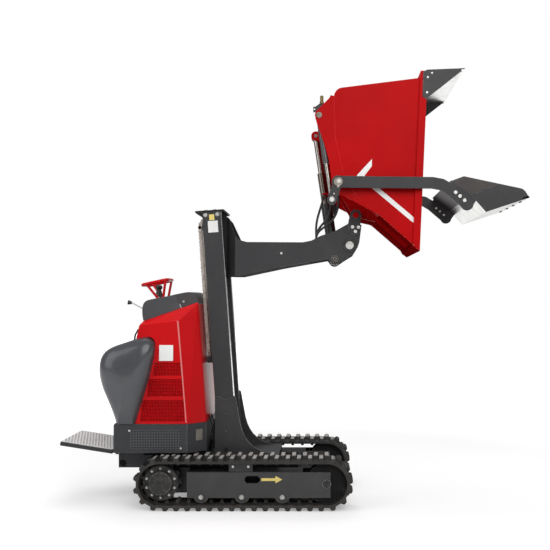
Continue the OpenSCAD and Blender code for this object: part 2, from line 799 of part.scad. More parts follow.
module frame_bolts() {
    color(chrome) machine() {
        on_mast() for (u = [-45, 15], y = [-120, 120])
            translate([u, y, mast_h + cap_t]) cylinder(r = bolt_r, h = bolt_head_t, $fn = 6);
        both_sides() for (z = [34, 156, 274])
            at([-143, deck_z + z]) hex_bolt(bolt_r, mast_w / 2 + gusset_t, bolt_head_t);
        both_sides() for (x = [-50, 50]) at([skid_mid_x + x, belt_roof_z - 22])
            hex_bolt(bolt_r - 4, track_y + plate_in_y, 6);
    }
}
module lift_barrel() {
    color(black) machine() on_mast() difference() {
        translate([0, 0, barrel_base_w]) cylinder(r = lift_barrel_r, h = barrel_top_w - barrel_base_w);
        translate([0, 0, barrel_base_w + 12]) cylinder(r = lift_rod_r + run_gap, h = mast_h);
    }
    color(black) machine() difference() {
        on_mast() translate([0, 0, -20]) cylinder(r = lift_barrel_r - 4, h = barrel_base_w + 21);
        box(-mast_h, mast_h, -mast_w, mast_w, -mast_h, deck_z);
    }
}
module lift_rod() {
    head_z = pulley_w - crosshead_h / 2;
    color(chrome) machine() on_mast() {
        translate([0, 0, rod_low_w]) cylinder(r = lift_rod_r, h = head_z + 1 - rod_low_w);
        box(pulley_u - 26, 34, -crosshead_half_w, crosshead_half_w, head_z, pulley_w + crosshead_h / 2);
        translate([pulley_u, 0, pulley_w]) both_sides() {
            pin(pulley_pin_r, crosshead_half_w - 1, pulley_y + pulley_t + 1);
            pin(pulley_pin_r + 6, pulley_y + pulley_t + face_gap, pulley_y + pulley_t + 6);
        }
    }
}
module chain_pulleys() {
    color(steel) machine() on_mast() translate([pulley_u, 0, pulley_w]) both_sides() difference() {
        pin(pulley_r, pulley_y, pulley_y + pulley_t);
        pin(pulley_pin_r + run_gap, 0, mast_w);
    }
}
module chain_run(u, w0, w1) {
    box(u - chain_t / 2, u + chain_t / 2, chain_y - chain_w / 2, chain_y + chain_w / 2, w0, w1);
}
module lift_chain_rear() {
    color(steel) machine() on_mast() both_sides() {
        chain_run(pulley_u - chain_run_r, anchor_w + anchor_h + 60, pulley_w);
        translate([pulley_u - chain_run_r, chain_y, anchor_w - 20])
            cylinder(r = anchor_rod_r, h = anchor_h + 81);
        translate([pulley_u - chain_run_r, chain_y, anchor_w + anchor_h])
            cylinder(r = anchor_rod_r + 6, h = 12, $fn = 6);
    }
}
module lift_chain_front() {
    in_r = chain_run_r - chain_t / 2;
    color(steel) machine() on_mast() both_sides() {
        chain_run(pulley_u + chain_run_r, chain_lug_w + chain_lug_h, pulley_w);
        translate([pulley_u, 0, pulley_w]) intersection() {
            difference() {
                pin(in_r + chain_t, chain_y - chain_w / 2, chain_y + chain_w / 2);
                pin(in_r, 0, mast_w);
            }
            box(-mast_w, mast_w, 0, mast_w, 0, mast_w);
        }
    }
}

// Boom
module boom_plan() {
    polygon([
        [datum[0] - 150, carriage_y - carriage_t], [datum[0] + flare_x0, carriage_y - carriage_t],
        [datum[0] + flare_x1, boom_y - boom_t], [skip_pivot[0] + 60, boom_y - boom_t],
        [skip_pivot[0] + 60, boom_y], [datum[0] + flare_x1 - 6, boom_y],
        [datum[0] + flare_x0 - 4, carriage_y], [datum[0] - 150, carriage_y]
    ]);
}
module boom_web(x0, x1, z_top) {
    low = datum - [0, boom_root_drop];
    slab(-boom_y + boom_t - 1, boom_y - boom_t + 1) polygon([
        datum + [x0, -boom_root_drop + 1], datum + [x1, -boom_root_drop + 1],
        [datum[0] + x1, low[1] + z_top], [datum[0] + x0, low[1] + z_top]
    ]);
}
module boom() {
    low_edge = [for (p = [[flare_x1, 0], [169, 0], [457, 61], [boom_plate_end, 95]])
        datum + [p[0], p[1] - boom_root_drop]];
    web_t = 12;
    color(dark_grey) machine() difference() {
        union() {
            both_sides() intersection() {
                slab(0, boom_y + 1) polygon(boom_outline());
                translate([0, 0, datum[1] - mast_h / 2]) linear_extrude(mast_h) boom_plan();
            }
            slab(-boom_y + boom_t - 1, boom_y - boom_t + 1)
                polygon(sheet_outline(low_edge, boom_plate_t));
            boom_web(flare_x1 + 4, flare_x1 + 4 + web_t, boom_top + boom_root_drop - 12);
            on_mast() {
                box(mast_d / 2 - 14, mast_d / 2 - 4, -carriage_y + 1, carriage_y - 1,
                    carriage_low_w + 6, datum_w + 120);
                both_sides() box(pulley_u + chain_run_r - 16, pulley_u + chain_run_r + 16, chain_lug_y,
                                 carriage_y - 1, chain_lug_w, chain_lug_w + chain_lug_h);
            }
            at(hose_bar) box(-hose_bar_size[0] / 2, hose_bar_size[0] / 2, 1 - boom_y + boom_t / 2, -66,
                             -hose_bar_size[1] / 2, hose_bar_size[1] / 2);
            both_sides() at(tip_foot) pin(foot_boss_r - 8, 60, boom_y - 1);
        }
        at(cross_pin) pin(cross_pin_r + run_gap, -boom_w, boom_w);
        at(tip_foot) pin(foot_pin_r + run_gap, -boom_w, boom_w);
    }
}
module nose_brackets() {
    color(dark_grey) machine() both_sides() difference() {
        slab(boom_y, boom_y + nose_t) {
            translate(skip_pivot) circle(r = nose_eye_r);
            polygon([skip_pivot + [-nose_eye_r + 1, 0], skip_pivot + [-nose_eye_r - 14, -66],
                     skip_pivot + [-nose_eye_r - 10, -120], skip_pivot + [-8, -140],
                     skip_pivot + [26, -128], skip_pivot + [nose_eye_r - 1, 0]]);
        }
        at(skip_pivot) pin(pivot_r + run_gap, 0, boom_w);
    }
}
module boom_fittings() {
    ring_t = 6;
    color(chrome) machine() {
        at(cross_pin) pin(cross_pin_r, -boom_y - 8, boom_y + 8);
        at(tip_foot) pin(foot_pin_r, -boom_y - 6, boom_y + 6);
        both_sides() {
            at(cross_pin) difference() {
                pin(cross_pin_r + 20, boom_y, boom_y + ring_t);
                pin(cross_pin_r + run_gap, 0, boom_w);
            }
            at(tip_foot) difference() {
                pin(foot_pin_r + 9, boom_y, boom_y + ring_t - 2);
                pin(foot_pin_r + run_gap, 0, boom_w);
            }
            for (p = nose_bolts) at(p) hex_bolt(bolt_r, boom_y + nose_t, bolt_head_t);
            at(datum + [455, 40]) hex_bolt(bolt_r - 4, boom_y, 6);
        }
        bar_top = hose_bar[1] + hose_bar_size[1] / 2;
        for (i = [0 : 2]) translate([hose_bar[0], hose_y[i], bar_top])
            cylinder(r = hose_r + 4, h = hose_routes[i][0][2] - bar_top - hose_gap, $fn = 6);
    }
}

// Skip
module tub_outline() {
    polygon(sheet_outline(skip_path(), skip_t));
}
module skip_tub() {
    rim_left = [-rim_w, 0];
    color(red) machine() at(skip_pivot) {
        slab(-skip_y, skip_y) tub_outline();
        both_sides() difference() {
            union() {
                slab(skip_in_y, skip_y) polygon(side_outline());
                slab(skip_in_y, skip_y + rim_d)
                    polygon([rim_top, rim_top + rim_left, rim_low + rim_left + [0, 42], rim_low]);
            }
            at(arm_pivot) pin(arm_pin_r + run_gap, 0, skip_w);
            at(ear_pin) pin(ear_pin_r + run_gap, 0, skip_w);
        }
        slab(-skip_y, skip_y) {
            polygon([rim_top, rim_top - [rim_w, 0], rim_top - [rim_w, 36], rim_top - [1, 44]]);
            polygon([rim_low, rim_low + [-6, 26], spout + [-36, 24], rim_low + [-40, 28]]);
        }
    }
}
module floor_rail(part, depth) {
    slab(rib_y, rib_y + rib_t) polygon(sheet_outline(part, -depth));
}
module skip_frame() {
    path = skip_path();
    corner = len(skip_corner());
    last = len(path) - 1;
    rail_end = path[last - 1] + 0.82 * (path[last] - path[last - 1]);
    color(red) machine() at(skip_pivot) difference() {
        union() {
            pin(pivot_r, -boom_y - nose_t - 4, boom_y + nose_t + 4);
            both_sides() {
                floor_rail([for (i = [1 : 3]) path[corner + i]], 42);
                floor_rail([path[last - 1], rail_end], 28);
                slab(rib_y, rib_y + rib_t) difference() {
                    union() {
                        circle(r = pivot_r + 16);
                        polygon([[-128, 300], [61 - floor_x, 256], [98 - floor_x, 174], [-4, 106], [60, 49],
                                 [147, -14], [150, -44], [30, -18], [-30, -18], [-36, 30], [-110, 150]]);
                    }
                    polygon(concat([mouth_top], skip_path(), [[mouth_x, 0]]));
                }
                slab(lug_y, lug_y + lug_t) difference() {
                    union() {
                        translate(tip_lug) circle(r = lug_r);
                        polygon([tip_lug + [-lug_r + 6, -14], tip_lug + [20, 27], [-floor_x, 690],
                                 [10 - floor_x, 471], tip_lug + [10, -lug_r + 3]]);
                    }
                    polygon(concat([mouth_top], skip_path(), [[mouth_x, 0]]));
                }
            }
            at(skip_bar - skip_pivot) box(0, skip_bar_size[0], -rib_y - 1, -72, 0, skip_bar_size[1]);
        }
        at(tip_lug) pin(ear_pin_r + run_gap, -rib_y, rib_y);
    }
}
module deflector_cheeks() {
    point = rim_top + [deflector_reach - 10, 16];
    out_y = skip_y + rim_d;
    color(dark_grey) machine() at(skip_pivot) both_sides() slab(out_y, out_y + deflector_t)
        polygon([rim_top + [-30, -8], rim_top + [-4, 6], point, rim_top + [-9, -183],
                 rim_top + [-34, -170]]);
}
module deflector_sheet() {
    foot = rim_top + [6, -4];
    point = rim_top + [deflector_reach - 18, 8];
    color(bright_steel) machine() at(skip_pivot) slab(-skip_y - rim_d, skip_y + rim_d)
        polygon(sheet_outline([foot, point], deflector_t));
}
module skip_pins() {
    keeper_t = 7;
    color(chrome) machine() both_sides() {
        at(shovel_pivot) {
            pin(arm_pin_r, skip_in_y - 6, arm_out_y + keeper_t);
            difference() {
                pin(boss_r, skip_y, arm_y - face_gap);
                pin(arm_pin_r - 1, 0, skip_w);
            }
            difference() {
                pin(arm_pin_r + 9, arm_out_y + face_gap, arm_out_y + keeper_t);
                pin(arm_pin_r - 1, 0, skip_w);
            }
        }
        at(ear) {
            pin(ear_pin_r, cylinder_y - eye_half_t - 4, skip_y + 8);
            difference() {
                pin(ear_pin_r + 7, skip_y, skip_y + 6);
                pin(ear_pin_r - 1, 0, skip_w);
            }
        }
        at(tip_eye) pin(ear_pin_r, knuckle_y + face_gap, lug_y + lug_t + 6);
    }
    color(chrome) machine() for (i = [0 : 2]) {
        top = hose_routes[i][len(hose_routes[i]) - 1];
        translate(top + [0, 0, hose_gap])
            cylinder(r = hose_r + 4, h = skip_bar[1] - top[2] - hose_gap, $fn = 6);
    }
}

// Tip cylinder
module tip_barrel() {
    color(black) machine() along(tip_foot, tip_dir) difference() {
        union() {
            pin(tip_barrel_r - 2, -36, 36);
            cylinder(r = tip_barrel_r, h = tip_barrel_len);
        }
        pin(foot_pin_r + run_gap, -boom_w, boom_w);
        translate([0, 0, tip_barrel_r + 12]) cylinder(r = tip_stage_r + run_gap, h = tip_len);
    }
}
module tip_stage() {
    color(steel) machine() along(tip_foot, tip_dir) difference() {
        translate([0, 0, tip_stage_low]) cylinder(r = tip_stage_r, h = tip_stage_top - tip_stage_low);
        translate([0, 0, tip_stage_low + 8]) cylinder(r = tip_rod_r + run_gap, h = tip_len);
    }
}
module tip_rod() {
    color(chrome) machine() along(tip_foot, tip_dir) {
        translate([0, 0, tip_rod_low]) cylinder(r = tip_rod_r, h = tip_len - tip_rod_low);
        translate([0, 0, tip_len]) pin(eye_r + 4, -knuckle_y, knuckle_y);
    }
}

// Shovel
function arm_path() = concat([[0, 0]], arm_bend, [arm_end]);
module shovel_arms() {
    color(dark_grey) machine() at(shovel_pivot) both_sides() difference() {
        slab(arm_y, arm_out_y) {
            polygon(bar_outline(arm_path(), arm_h));
            circle(r = arm_end_r);
            translate(arm_end) circle(r = arm_end_r);
            polygon(bar_outline([[0, 0], cyl_lug], 2 * cyl_lug_r - 4));
            translate(cyl_lug) circle(r = cyl_lug_r);
        }
        pin(arm_pin_r + run_gap, 0, skip_w);
        at(cyl_lug) pin(cyl_pin_r + run_gap, 0, skip_w);
        for (p = arm_bolts) at(p) pin(arm_bolt_r + run_gap, 0, skip_w);
    }
}
module shovel_bucket() {
    cheek = concat([bucket_rear, bucket_crown], reversed(lip_top), [lip, heel, bucket_back]);
    bolt_lug = [bucket_rear + [10, -6], bucket_back + [2, 4], arm_end + [26, 10], arm_end + [-4, -30],
                arm_bend[2] + [-12, -14]];
    edge_step = 2 * arm_y / edge_points;
    color(dark_grey) machine() at(shovel_pivot) {
        difference() {
            both_sides() slab(arm_y - bucket_t, arm_y) {
                polygon(cheek);
                polygon(bolt_lug);
            }
            for (p = arm_bolts) at(p) pin(arm_bolt_r + run_gap, -skip_w, skip_w);
        }
        slab(-arm_y + 1, arm_y - 1)
            polygon(sheet_outline([lip, heel, bucket_back, bucket_rear], -bucket_t));
        at(lip) rotate([0, -atan2(floor_dir[1], floor_dir[0]), 0]) for (i = [0 : edge_points - 1])
            translate([0, -arm_y + (i + 0.5) * edge_step, 0]) linear_extrude(edge_t) polygon([
                [-edge_w, -edge_step / 2 - 0.1], [0, -edge_step / 2 - 0.1], [edge_tip, -edge_step / 5],
                [edge_tip, edge_step / 5], [0, edge_step / 2 + 0.1], [-edge_w, edge_step / 2 + 0.1]
            ]);
    }
}
module shovel_fasteners() {
    color(chrome) machine() at(shovel_pivot) both_sides() {
        for (p = arm_bolts) at(p) {
            pin(arm_bolt_r, arm_y - bucket_t - 10, arm_out_y + 1);
            hex_bolt(bolt_r, arm_out_y, bolt_head_t);
        }
        at(cyl_lug) {
            pin(cyl_pin_r, cylinder_y + eye_half_t + face_gap, arm_out_y + 6);
            difference() {
                pin(cyl_pin_r + 8, arm_out_y, arm_out_y + 5);
                pin(cyl_pin_r - 1, 0, skip_w);
            }
        }
    }
}
module shovel_barrels() {
    color(black) machine() both_sides() translate([0, cylinder_y, 0])
        along(ear, arm_cyl_dir) difference() {
        union() {
            pin(eye_r, -eye_half_t, eye_half_t);
            cylinder(r = arm_barrel_r, h = arm_barrel_len);
        }
        pin(ear_pin_r + run_gap, -skip_w, skip_w);
        translate([0, 0, eye_r + 2]) cylinder(r = arm_rod_r + run_gap, h = arm_cyl_len);
    }
}
module shovel_rods() {
    color(chrome) machine() both_sides() translate([0, cylinder_y, 0]) along(ear, arm_cyl_dir) {
        translate([0, 0, arm_rod_low]) cylinder(r = arm_rod_r, h = arm_cyl_len - arm_rod_low);
        translate([0, 0, arm_cyl_len]) pin(eye_r, -eye_half_t, eye_half_t);
    }
}
module boom_hoses() {
    color(black) machine() for (route = hose_routes) tube(route, hose_r, hose_sides);
}

// Console
function skirt_plan(inset) = [
    [inset - console_rear, inset - console_y], [-console_front - chamfer_x, inset - console_y],
    [-console_front - inset, chamfer_y - console_y], [-console_front - inset, console_y - chamfer_y],
    [-console_front - chamfer_x, console_y - inset], [inset - console_rear, console_y - inset]
];
module console_base() {
    color(skirt_grey) machine() difference() {
        translate([0, 0, console_z]) linear_extrude(skirt_h) polygon(skirt_plan(0));
        translate([0, 0, console_z + floor_t]) linear_extrude(skirt_h) polygon(skirt_plan(panel_t));
    }
}
// Corners of the bonnet on the left half, pulled in by inset
function bonnet_points(inset, foot_z) = [
    [bonnet_back_x + inset, console_y - 4 - inset, foot_z],
    [-console_front - chamfer_x, console_y - 2 - inset, foot_z],
    [-console_front - 2 - inset, console_y - chamfer_y - inset, foot_z],
    [dash_rear_x - 15 + inset, console_y - 45 - inset, crease_z - 40],
    [-console_front - chamfer_x - 68, console_y - 45 - inset, crease_z - inset],
    [-console_front - 66 - inset, console_y - 118 - inset, crease_z + 45 - inset],
    [dash_rear_x + inset, console_y - 80 - inset, crease_z - 8 - inset],
    [dash_front_x - inset, console_y - 140 - inset, dash_top_z - inset]
];
module bonnet_body(inset, foot_z) {
    hull() both_sides() for (p = bonnet_points(inset + bonnet_round, foot_z))
        translate(p) sphere(r = bonnet_round, $fn = 16);
}
module bonnet_shell() {
    difference() {
        bonnet_body(0, skirt_z);
        bonnet_body(panel_t, skirt_z - 40);
        box(-2000, 0, -console_w, console_w, 0, skirt_z);
    }
}
module grille_prism(row, gap) {
    taper = 0.09 * (row[2] - row[3]);
    slab(0, console_w) polygon([
        [row[0] - taper + gap, row[3] + gap], [row[1] + taper / 2 - gap, row[3] + gap],
        [row[1] - gap, row[2] - gap], [row[0] + gap, row[2] - gap]
    ]);
}
module bonnet() {
    color(red) machine() difference() {
        bonnet_shell();
        both_sides() tank_body(tank_gap);
        both_sides() for (row = grille_rows) grille_prism(row, 0);
    }
}
module bonnet_grilles() {
    color(red) machine() difference() {
        intersection() {
            bonnet_shell();
            both_sides() for (row = grille_rows) grille_prism(row, face_gap);
        }
        both_sides() tank_body(tank_gap);
    }
}
module dash_body(inset) {
    ball = dash_round - inset;
    corners = [
        [dash_rear_x + dash_round, console_y - 92 - dash_round, crease_z - 4 + dash_round],
        [dash_rear_x + dash_round + 6, console_y - 100 - dash_round, crease_z + dash_h - dash_round],
        [dash_front_x - 40 - dash_round, console_y - 155 - dash_round, dash_top_z + 66 - dash_round],
        [dash_front_x - dash_round, console_y - 148 - dash_round, dash_top_z + 10 - dash_round]
    ];
    hull() both_sides() for (p = corners) translate(p) sphere(r = ball, $fn = 20);
}
module dash_cover() {
    seat = 0.4;
    ear_in = lever_r + 3;
    color(console_grey) machine() difference() {
        union() {
            difference() {
                dash_body(0);
                dash_body(panel_t);
            }
            intersection() {
                dash_body(1);
                box(lever_x - 40, lever_x + 40, -lever_y - 30, lever_y + 30, crease_z, dash_top_z + 60);
            }
            for (y = [throttle_y - ear_in - 8, throttle_y + ear_in])
                box(throttle_pivot[0] - 10, dash_rear_x + 16, y, y + 8, throttle_pivot[1] - 10,
                    throttle_pivot[1] + 10);
        }
        translate([0, 0, seat]) bonnet_body(0, skirt_z);
        for (y = [-lever_y, lever_y]) translate([lever_x, y, lever_pivot_z]) {
            box(-lever_slot, lever_slot, -lever_r - 3, lever_r + 3, -lever_r - 6, 90);
            pin(lever_pin_r + run_gap, -lever_r - 14, lever_r + 14);
        }
        translate([throttle_pivot[0], throttle_y, throttle_pivot[1]])
            pin(lever_pin_r + run_gap, -ear_in - 20, ear_in + 20);
    }
}
// Moulded side tank as balls of [x, z, radius], grown by gap
tank_balls = [
    [-643, skirt_z + 522, 46], [-650, skirt_z + 437, 46], [-884, skirt_z + 386, 76],
    [-890, skirt_z + 330, 70], [-813, skirt_z + 30, 38], [-752, skirt_z + 30, 38]
];
module tank_body(gap) {
    difference() {
        hull() for (b = tank_balls, y = [tank_in_y, tank_out_y])
            translate([b[0], y == tank_in_y ? y + b[2] : y - b[2], b[1]])
                sphere(r = b[2] + gap, $fn = 24);
        box(-2000, 0, 0, console_w, 0, skirt_z - gap);
    }
}
module fuel_tank() { color(console_grey) machine() on_side(RIGHT) tank_body(0); }
module oil_tank() { color(console_grey) machine() on_side(LEFT) tank_body(0); }

// Power unit inside the console
module engine() {
    floor_z = console_z + floor_t;
    color(cast_grey) machine() {
        box(-600, -380, -120, 120, floor_z, floor_z + 40);
        box(-580, -400, -100, 100, floor_z + 39, floor_z + 250);
        box(-560, -420, -80, 80, floor_z + 249, floor_z + 400);
        for (i = [0 : 5]) box(-570, -410, -90, 90, floor_z + 262 + i * 22, floor_z + 270 + i * 22);
        translate([-490, 0, floor_z + 160]) pin(85, -135, -99);
    }
}
module muffler() {
    floor_z = console_z + floor_t;
    color(steel) machine() {
        translate([-490, 0, floor_z + 456]) pin(50, -130, 130);
        translate([-490, 0, floor_z + 400]) cylinder(r = 18, h = 20);
    }
}
module hydraulic_pump() {
    floor_z = console_z + floor_t;
    color(cast_grey) machine() {
        box(-530, -450, -250, -160, floor_z + 105, floor_z + 215);
        translate([-490, 0, floor_z + 160]) pin(30, -161, -135);
    }
}
module battery() {
    floor_z = console_z + floor_t;
    color(black) machine() {
        box(-790, -620, -65, 65, floor_z, floor_z + 150);
        for (y = [-40, 40]) translate([-650, y, floor_z + 149]) cylinder(r = 9, h = 16);
    }
}

// Controls
function guard_rise(x) = guard_z + (x - guard_x[0]) * 43 / (guard_x[1] - guard_x[0]);
module hand_guard() {
    corners = [
        for (c = [[0, -1], [1, -1], [1, 1], [0, 1]])
            [guard_x[c[0]], c[1] * guard_half_w, guard_rise(guard_x[c[0]])]
    ];
    strut_x = [guard_x[0] + 10, guard_x[1] - 8];
    feet = [-614, -575];
    color(red) machine() difference() {
        union() {
            for (i = [0 : 3]) {
                rod_between(corners[i], corners[(i + 1) % 4], guard_r);
                translate(corners[i]) sphere(r = guard_r + 0.4);
            }
            both_sides() for (i = [0, 1])
                rod_between([strut_x[i], guard_half_w, guard_rise(strut_x[i])],
                            [feet[i], 96, crease_z + 120], guard_r - 3);
        }
        translate([0, 0, face_gap]) dash_body(0);
    }
}
module travel_lever(y) {
    knob_z = guard_z - lever_pivot_z - 14;
    color(black) machine() translate([lever_x, y, lever_pivot_z]) {
        pin(lever_pin_r, -lever_r - 12, lever_r + 12);
        pin(lever_r + 2, -lever_r, lever_r);
        cylinder(r = lever_r, h = knob_z);
        translate([0, 0, knob_z]) sphere(r = lever_knob_r);
    }
}
module travel_lever_right() { travel_lever(-lever_y); }
module travel_lever_left() { travel_lever(lever_y); }
module throttle_lever() {
    foot = [throttle_pivot[0], throttle_y, throttle_pivot[1]];
    tip = [throttle_tip[0], throttle_y, throttle_tip[1]];
    color(black) machine() {
        rod_between(foot, tip, lever_r - 1);
        translate(foot) {
            pin(lever_r + 2, -lever_r, lever_r);
            pin(lever_pin_r, -lever_r - 10, lever_r + 10);
        }
        translate(tip) rotate([0, -80, 0]) cylinder(r1 = 9, r2 = 16, h = 26);
    }
}

// Platform
module on_platform() {
    at(hinge) rotate([0, platform_tilt, 0]) mirror([1, 0, 0]) children();
}
module platform_frame() {
    color(dark_grey) machine() {
        on_platform() difference() {
            box(platform_start, platform_len, -platform_y, platform_y, -platform_t / 2, platform_t / 2);
            box(platform_start + platform_t, platform_len - platform_t, platform_t - platform_y,
                platform_y - platform_t, -platform_t, platform_t);
        }
        on_platform() both_sides() difference() {
            union() {
                box(0, platform_start + 12, hinge_ear_y + face_gap, hinge_ear_y + hinge_ear_t,
                    -platform_t / 2, platform_t / 2);
                pin(hinge_r + 8, hinge_ear_y + face_gap, hinge_ear_y + hinge_ear_t);
            }
            pin(hinge_r + run_gap, 0, platform_w);
        }
    }
}
module platform_grating() {
    color(steel) machine() on_platform() translate([0, 0, platform_t / 2]) {
        for (y = [-platform_y : grating_pitch : platform_y - bar_t])
            box(platform_start + 4, platform_len - 4, y, y + bar_t, 0, grating_t);
        for (x = [platform_start + 4 : grating_pitch : platform_len - 4 - bar_t])
            box(x, x + bar_t, -platform_y, platform_y, 0, grating_t);
    }
}

chassis_frame();
track_frame_right();
track_frame_left();
track_belt_right();
track_belt_left();
drive_motors();
track_axles();
carrier_skids();
sprocket_right();
sprocket_left();
idler_right();
idler_left();
roller_right_1();
roller_right_2();
roller_right_3();
roller_left_1();
roller_left_2();
roller_left_3();
mast_frame();
mast_gussets();
mast_cap();
frame_bolts();
lift_barrel();
lift_rod();
chain_pulleys();
lift_chain_rear();
lift_chain_front();
boom();
nose_brackets();
boom_fittings();
skip_tub();
skip_frame();
deflector_cheeks();
deflector_sheet();
skip_pins();
tip_barrel();
tip_stage();
tip_rod();
shovel_arms();
shovel_bucket();
shovel_fasteners();
shovel_barrels();
shovel_rods();
boom_hoses();
console_base();
bonnet();
bonnet_grilles();
dash_cover();
fuel_tank();
oil_tank();
engine();
muffler();
hydraulic_pump();
battery();
hand_guard();
travel_lever_right();
travel_lever_left();
throttle_lever();
platform_frame();
platform_grating();
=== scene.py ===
"""Looks of the tracked power carrier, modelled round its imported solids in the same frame.

Places are in the machine's millimetres: x forward from the middle of the tracks, y to the left and z up from
the ground. place() turns them into the frame's metres.
"""
import json
import math

import bpy
from mathutils import Matrix, Vector


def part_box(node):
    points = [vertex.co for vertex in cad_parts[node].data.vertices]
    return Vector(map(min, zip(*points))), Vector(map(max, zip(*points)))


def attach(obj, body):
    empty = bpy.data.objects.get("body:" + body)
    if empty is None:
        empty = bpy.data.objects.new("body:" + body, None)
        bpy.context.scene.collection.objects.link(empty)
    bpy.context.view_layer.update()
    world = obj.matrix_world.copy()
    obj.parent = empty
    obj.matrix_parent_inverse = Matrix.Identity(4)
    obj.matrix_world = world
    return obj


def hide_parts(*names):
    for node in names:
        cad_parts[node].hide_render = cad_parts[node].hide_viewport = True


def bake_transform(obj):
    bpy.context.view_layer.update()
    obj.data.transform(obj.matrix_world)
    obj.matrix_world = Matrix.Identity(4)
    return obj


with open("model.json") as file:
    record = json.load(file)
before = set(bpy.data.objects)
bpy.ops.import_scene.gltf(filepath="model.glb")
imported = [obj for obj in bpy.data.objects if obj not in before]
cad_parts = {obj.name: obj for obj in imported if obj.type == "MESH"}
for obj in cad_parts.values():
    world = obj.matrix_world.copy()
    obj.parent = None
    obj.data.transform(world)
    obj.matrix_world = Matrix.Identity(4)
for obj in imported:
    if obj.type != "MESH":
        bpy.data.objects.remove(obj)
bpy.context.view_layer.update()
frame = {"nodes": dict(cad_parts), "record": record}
RECORD = frame["record"]
SLOT_OF = {part["node"]: part["material_slot"] for part in RECORD["subparts"]}
BODY_OF = {node: body for body, nodes in RECORD["behaviour"]["bodies"].items() for node in nodes}
RIGHT, LEFT = -1, 1
SIDES = ((RIGHT, "right"), (LEFT, "left"))
AXLE_X = 540.0
idler_low, idler_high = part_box("idler_right")
X_MID = AXLE_X - 500 * (idler_low.x + idler_high.x)


def place(x, y, z):
    """A point given in the machine's millimetres, in the frame's metres."""
    return Vector(((x - X_MID) / 1000, y / 1000, z / 1000))


def linked(piece):
    """Puts a new object into the scene."""
    bpy.context.scene.collection.objects.link(piece)
    return piece


# Camera: the photo's side and focal length in pixels, and the pixel that the lens looks straight at

PHOTO_PX, FOCAL_PX, AIM_PX = 550, 840, (326, 298)
SENSOR_MM = 36
CAMERA_AT = (535.5, -5900, 1376)

camera_data = bpy.data.cameras.new("photo_camera")
camera = linked(bpy.data.objects.new("photo_camera", camera_data))
camera.location = place(*CAMERA_AT)
camera.rotation_euler = (math.radians(90), 0, 0)
camera_data.sensor_width = SENSOR_MM
camera_data.lens = SENSOR_MM * FOCAL_PX / PHOTO_PX
camera_data.shift_x = (PHOTO_PX / 2 - AIM_PX[0]) / PHOTO_PX
camera_data.shift_y = (AIM_PX[1] - PHOTO_PX / 2) / PHOTO_PX
bpy.context.scene.camera = camera
bpy.context.scene.view_settings.view_transform = "Standard"

# Finishes


def srgb(red, green, blue):
    """A colour as a photo shows it, 0 to 255, turned into the linear colour that a socket takes."""
    def linear(value):
        value /= 255
        return value / 12.92 if value <= 0.04045 else ((value + 0.055) / 1.055) ** 2.4
    return (linear(red), linear(green), linear(blue), 1)


def shade(colour, factor):
    """A linear colour made darker or lighter."""
    return (colour[0] * factor, colour[1] * factor, colour[2] * factor, 1)


class Signal:
    """A node's output that takes part in Python sums; each sum adds a Math node."""

    def __init__(self, finish, link):
        self.finish = finish
        self.link = link

    def _sum(self, operation, first, second):
        return self.finish.node("Math", {"operation": operation}, {0: first, 1: second})

    def __add__(self, other):
        return self._sum("ADD", self, other)

    def __sub__(self, other):
        return self._sum("SUBTRACT", self, other)

    def __rsub__(self, other):
        return self._sum("SUBTRACT", other, self)

    def __mul__(self, other):
        return self._sum("MULTIPLY", self, other)

    __radd__ = __add__
    __rmul__ = __mul__


class Nodes:
    """The node tree of a material or a world, put together node by node."""

    def __init__(self, owner):
        owner.use_nodes = True
        self.tree = owner.node_tree

    def feed(self, inputs, sockets):
        """Sets each socket to its value, or links its signal to it."""
        for key, value in sockets.items():
            if isinstance(value, Signal):
                self.tree.links.new(value.link, inputs[key])
            else:
                inputs[key].default_value = value

    def node(self, kind, settings=None, sockets=None, out=0):
        """Adds a node of any kind and gives one of its outputs."""
        made = self.tree.nodes.new("ShaderNode" + kind)
        for key, value in (settings or {}).items():
            setattr(made, key, value)
        self.feed(made.inputs, sockets or {})
        return Signal(self, made.outputs[out])

    def show(self, output, surface):
        self.tree.links.new(surface.link, self.tree.nodes[output].inputs["Surface"])


class Finish(Nodes):
    """One procedural material."""

    def __init__(self, name):
        self.material = bpy.data.materials.new(name)
        super().__init__(self.material)
        self.shader = self.tree.nodes["Principled BSDF"]
        self.where = self.node("TexCoord", out="Object")

    def noise(self, scale, detail=3, stretch=None):
        where = self.where
        if stretch:
            where = self.node("Mapping", None, {"Vector": where, "Scale": stretch})
        return self.node("TexNoise", None, {"Vector": where, "Scale": scale, "Detail": detail}, "Fac")

    def wave(self, direction, scale):
        return self.node("TexWave", {"bands_direction": direction},
                         {"Vector": self.where, "Scale": scale}, "Fac")

    def band(self, value, low, high):
        """0 below low, 1 above high, and a smooth step between them."""
        return self.node("MapRange", {"interpolation_type": "SMOOTHSTEP"},
                         {"Value": value, "From Min": low, "From Max": high})

    def mix(self, factor, first, second):
        return self.node("Mix", {"data_type": "RGBA"}, {0: factor, 6: first, 7: second}, 2)

    def upright(self, vector):
        """The z part of a vector."""
        return self.node("SeparateXYZ", None, {0: vector}, 2)

    def relief(self, height, distance, strength):
        return self.node("Bump", None, {"Height": height, "Distance": distance, "Strength": strength},
                         "Normal")

    def done(self, sockets):
        """Feeds the shader and gives the finished material."""
        self.feed(self.shader.inputs, sockets)
        return self.material


DUST = srgb(150, 142, 132)
SOIL = srgb(92, 80, 68)
BARE = srgb(168, 166, 162)


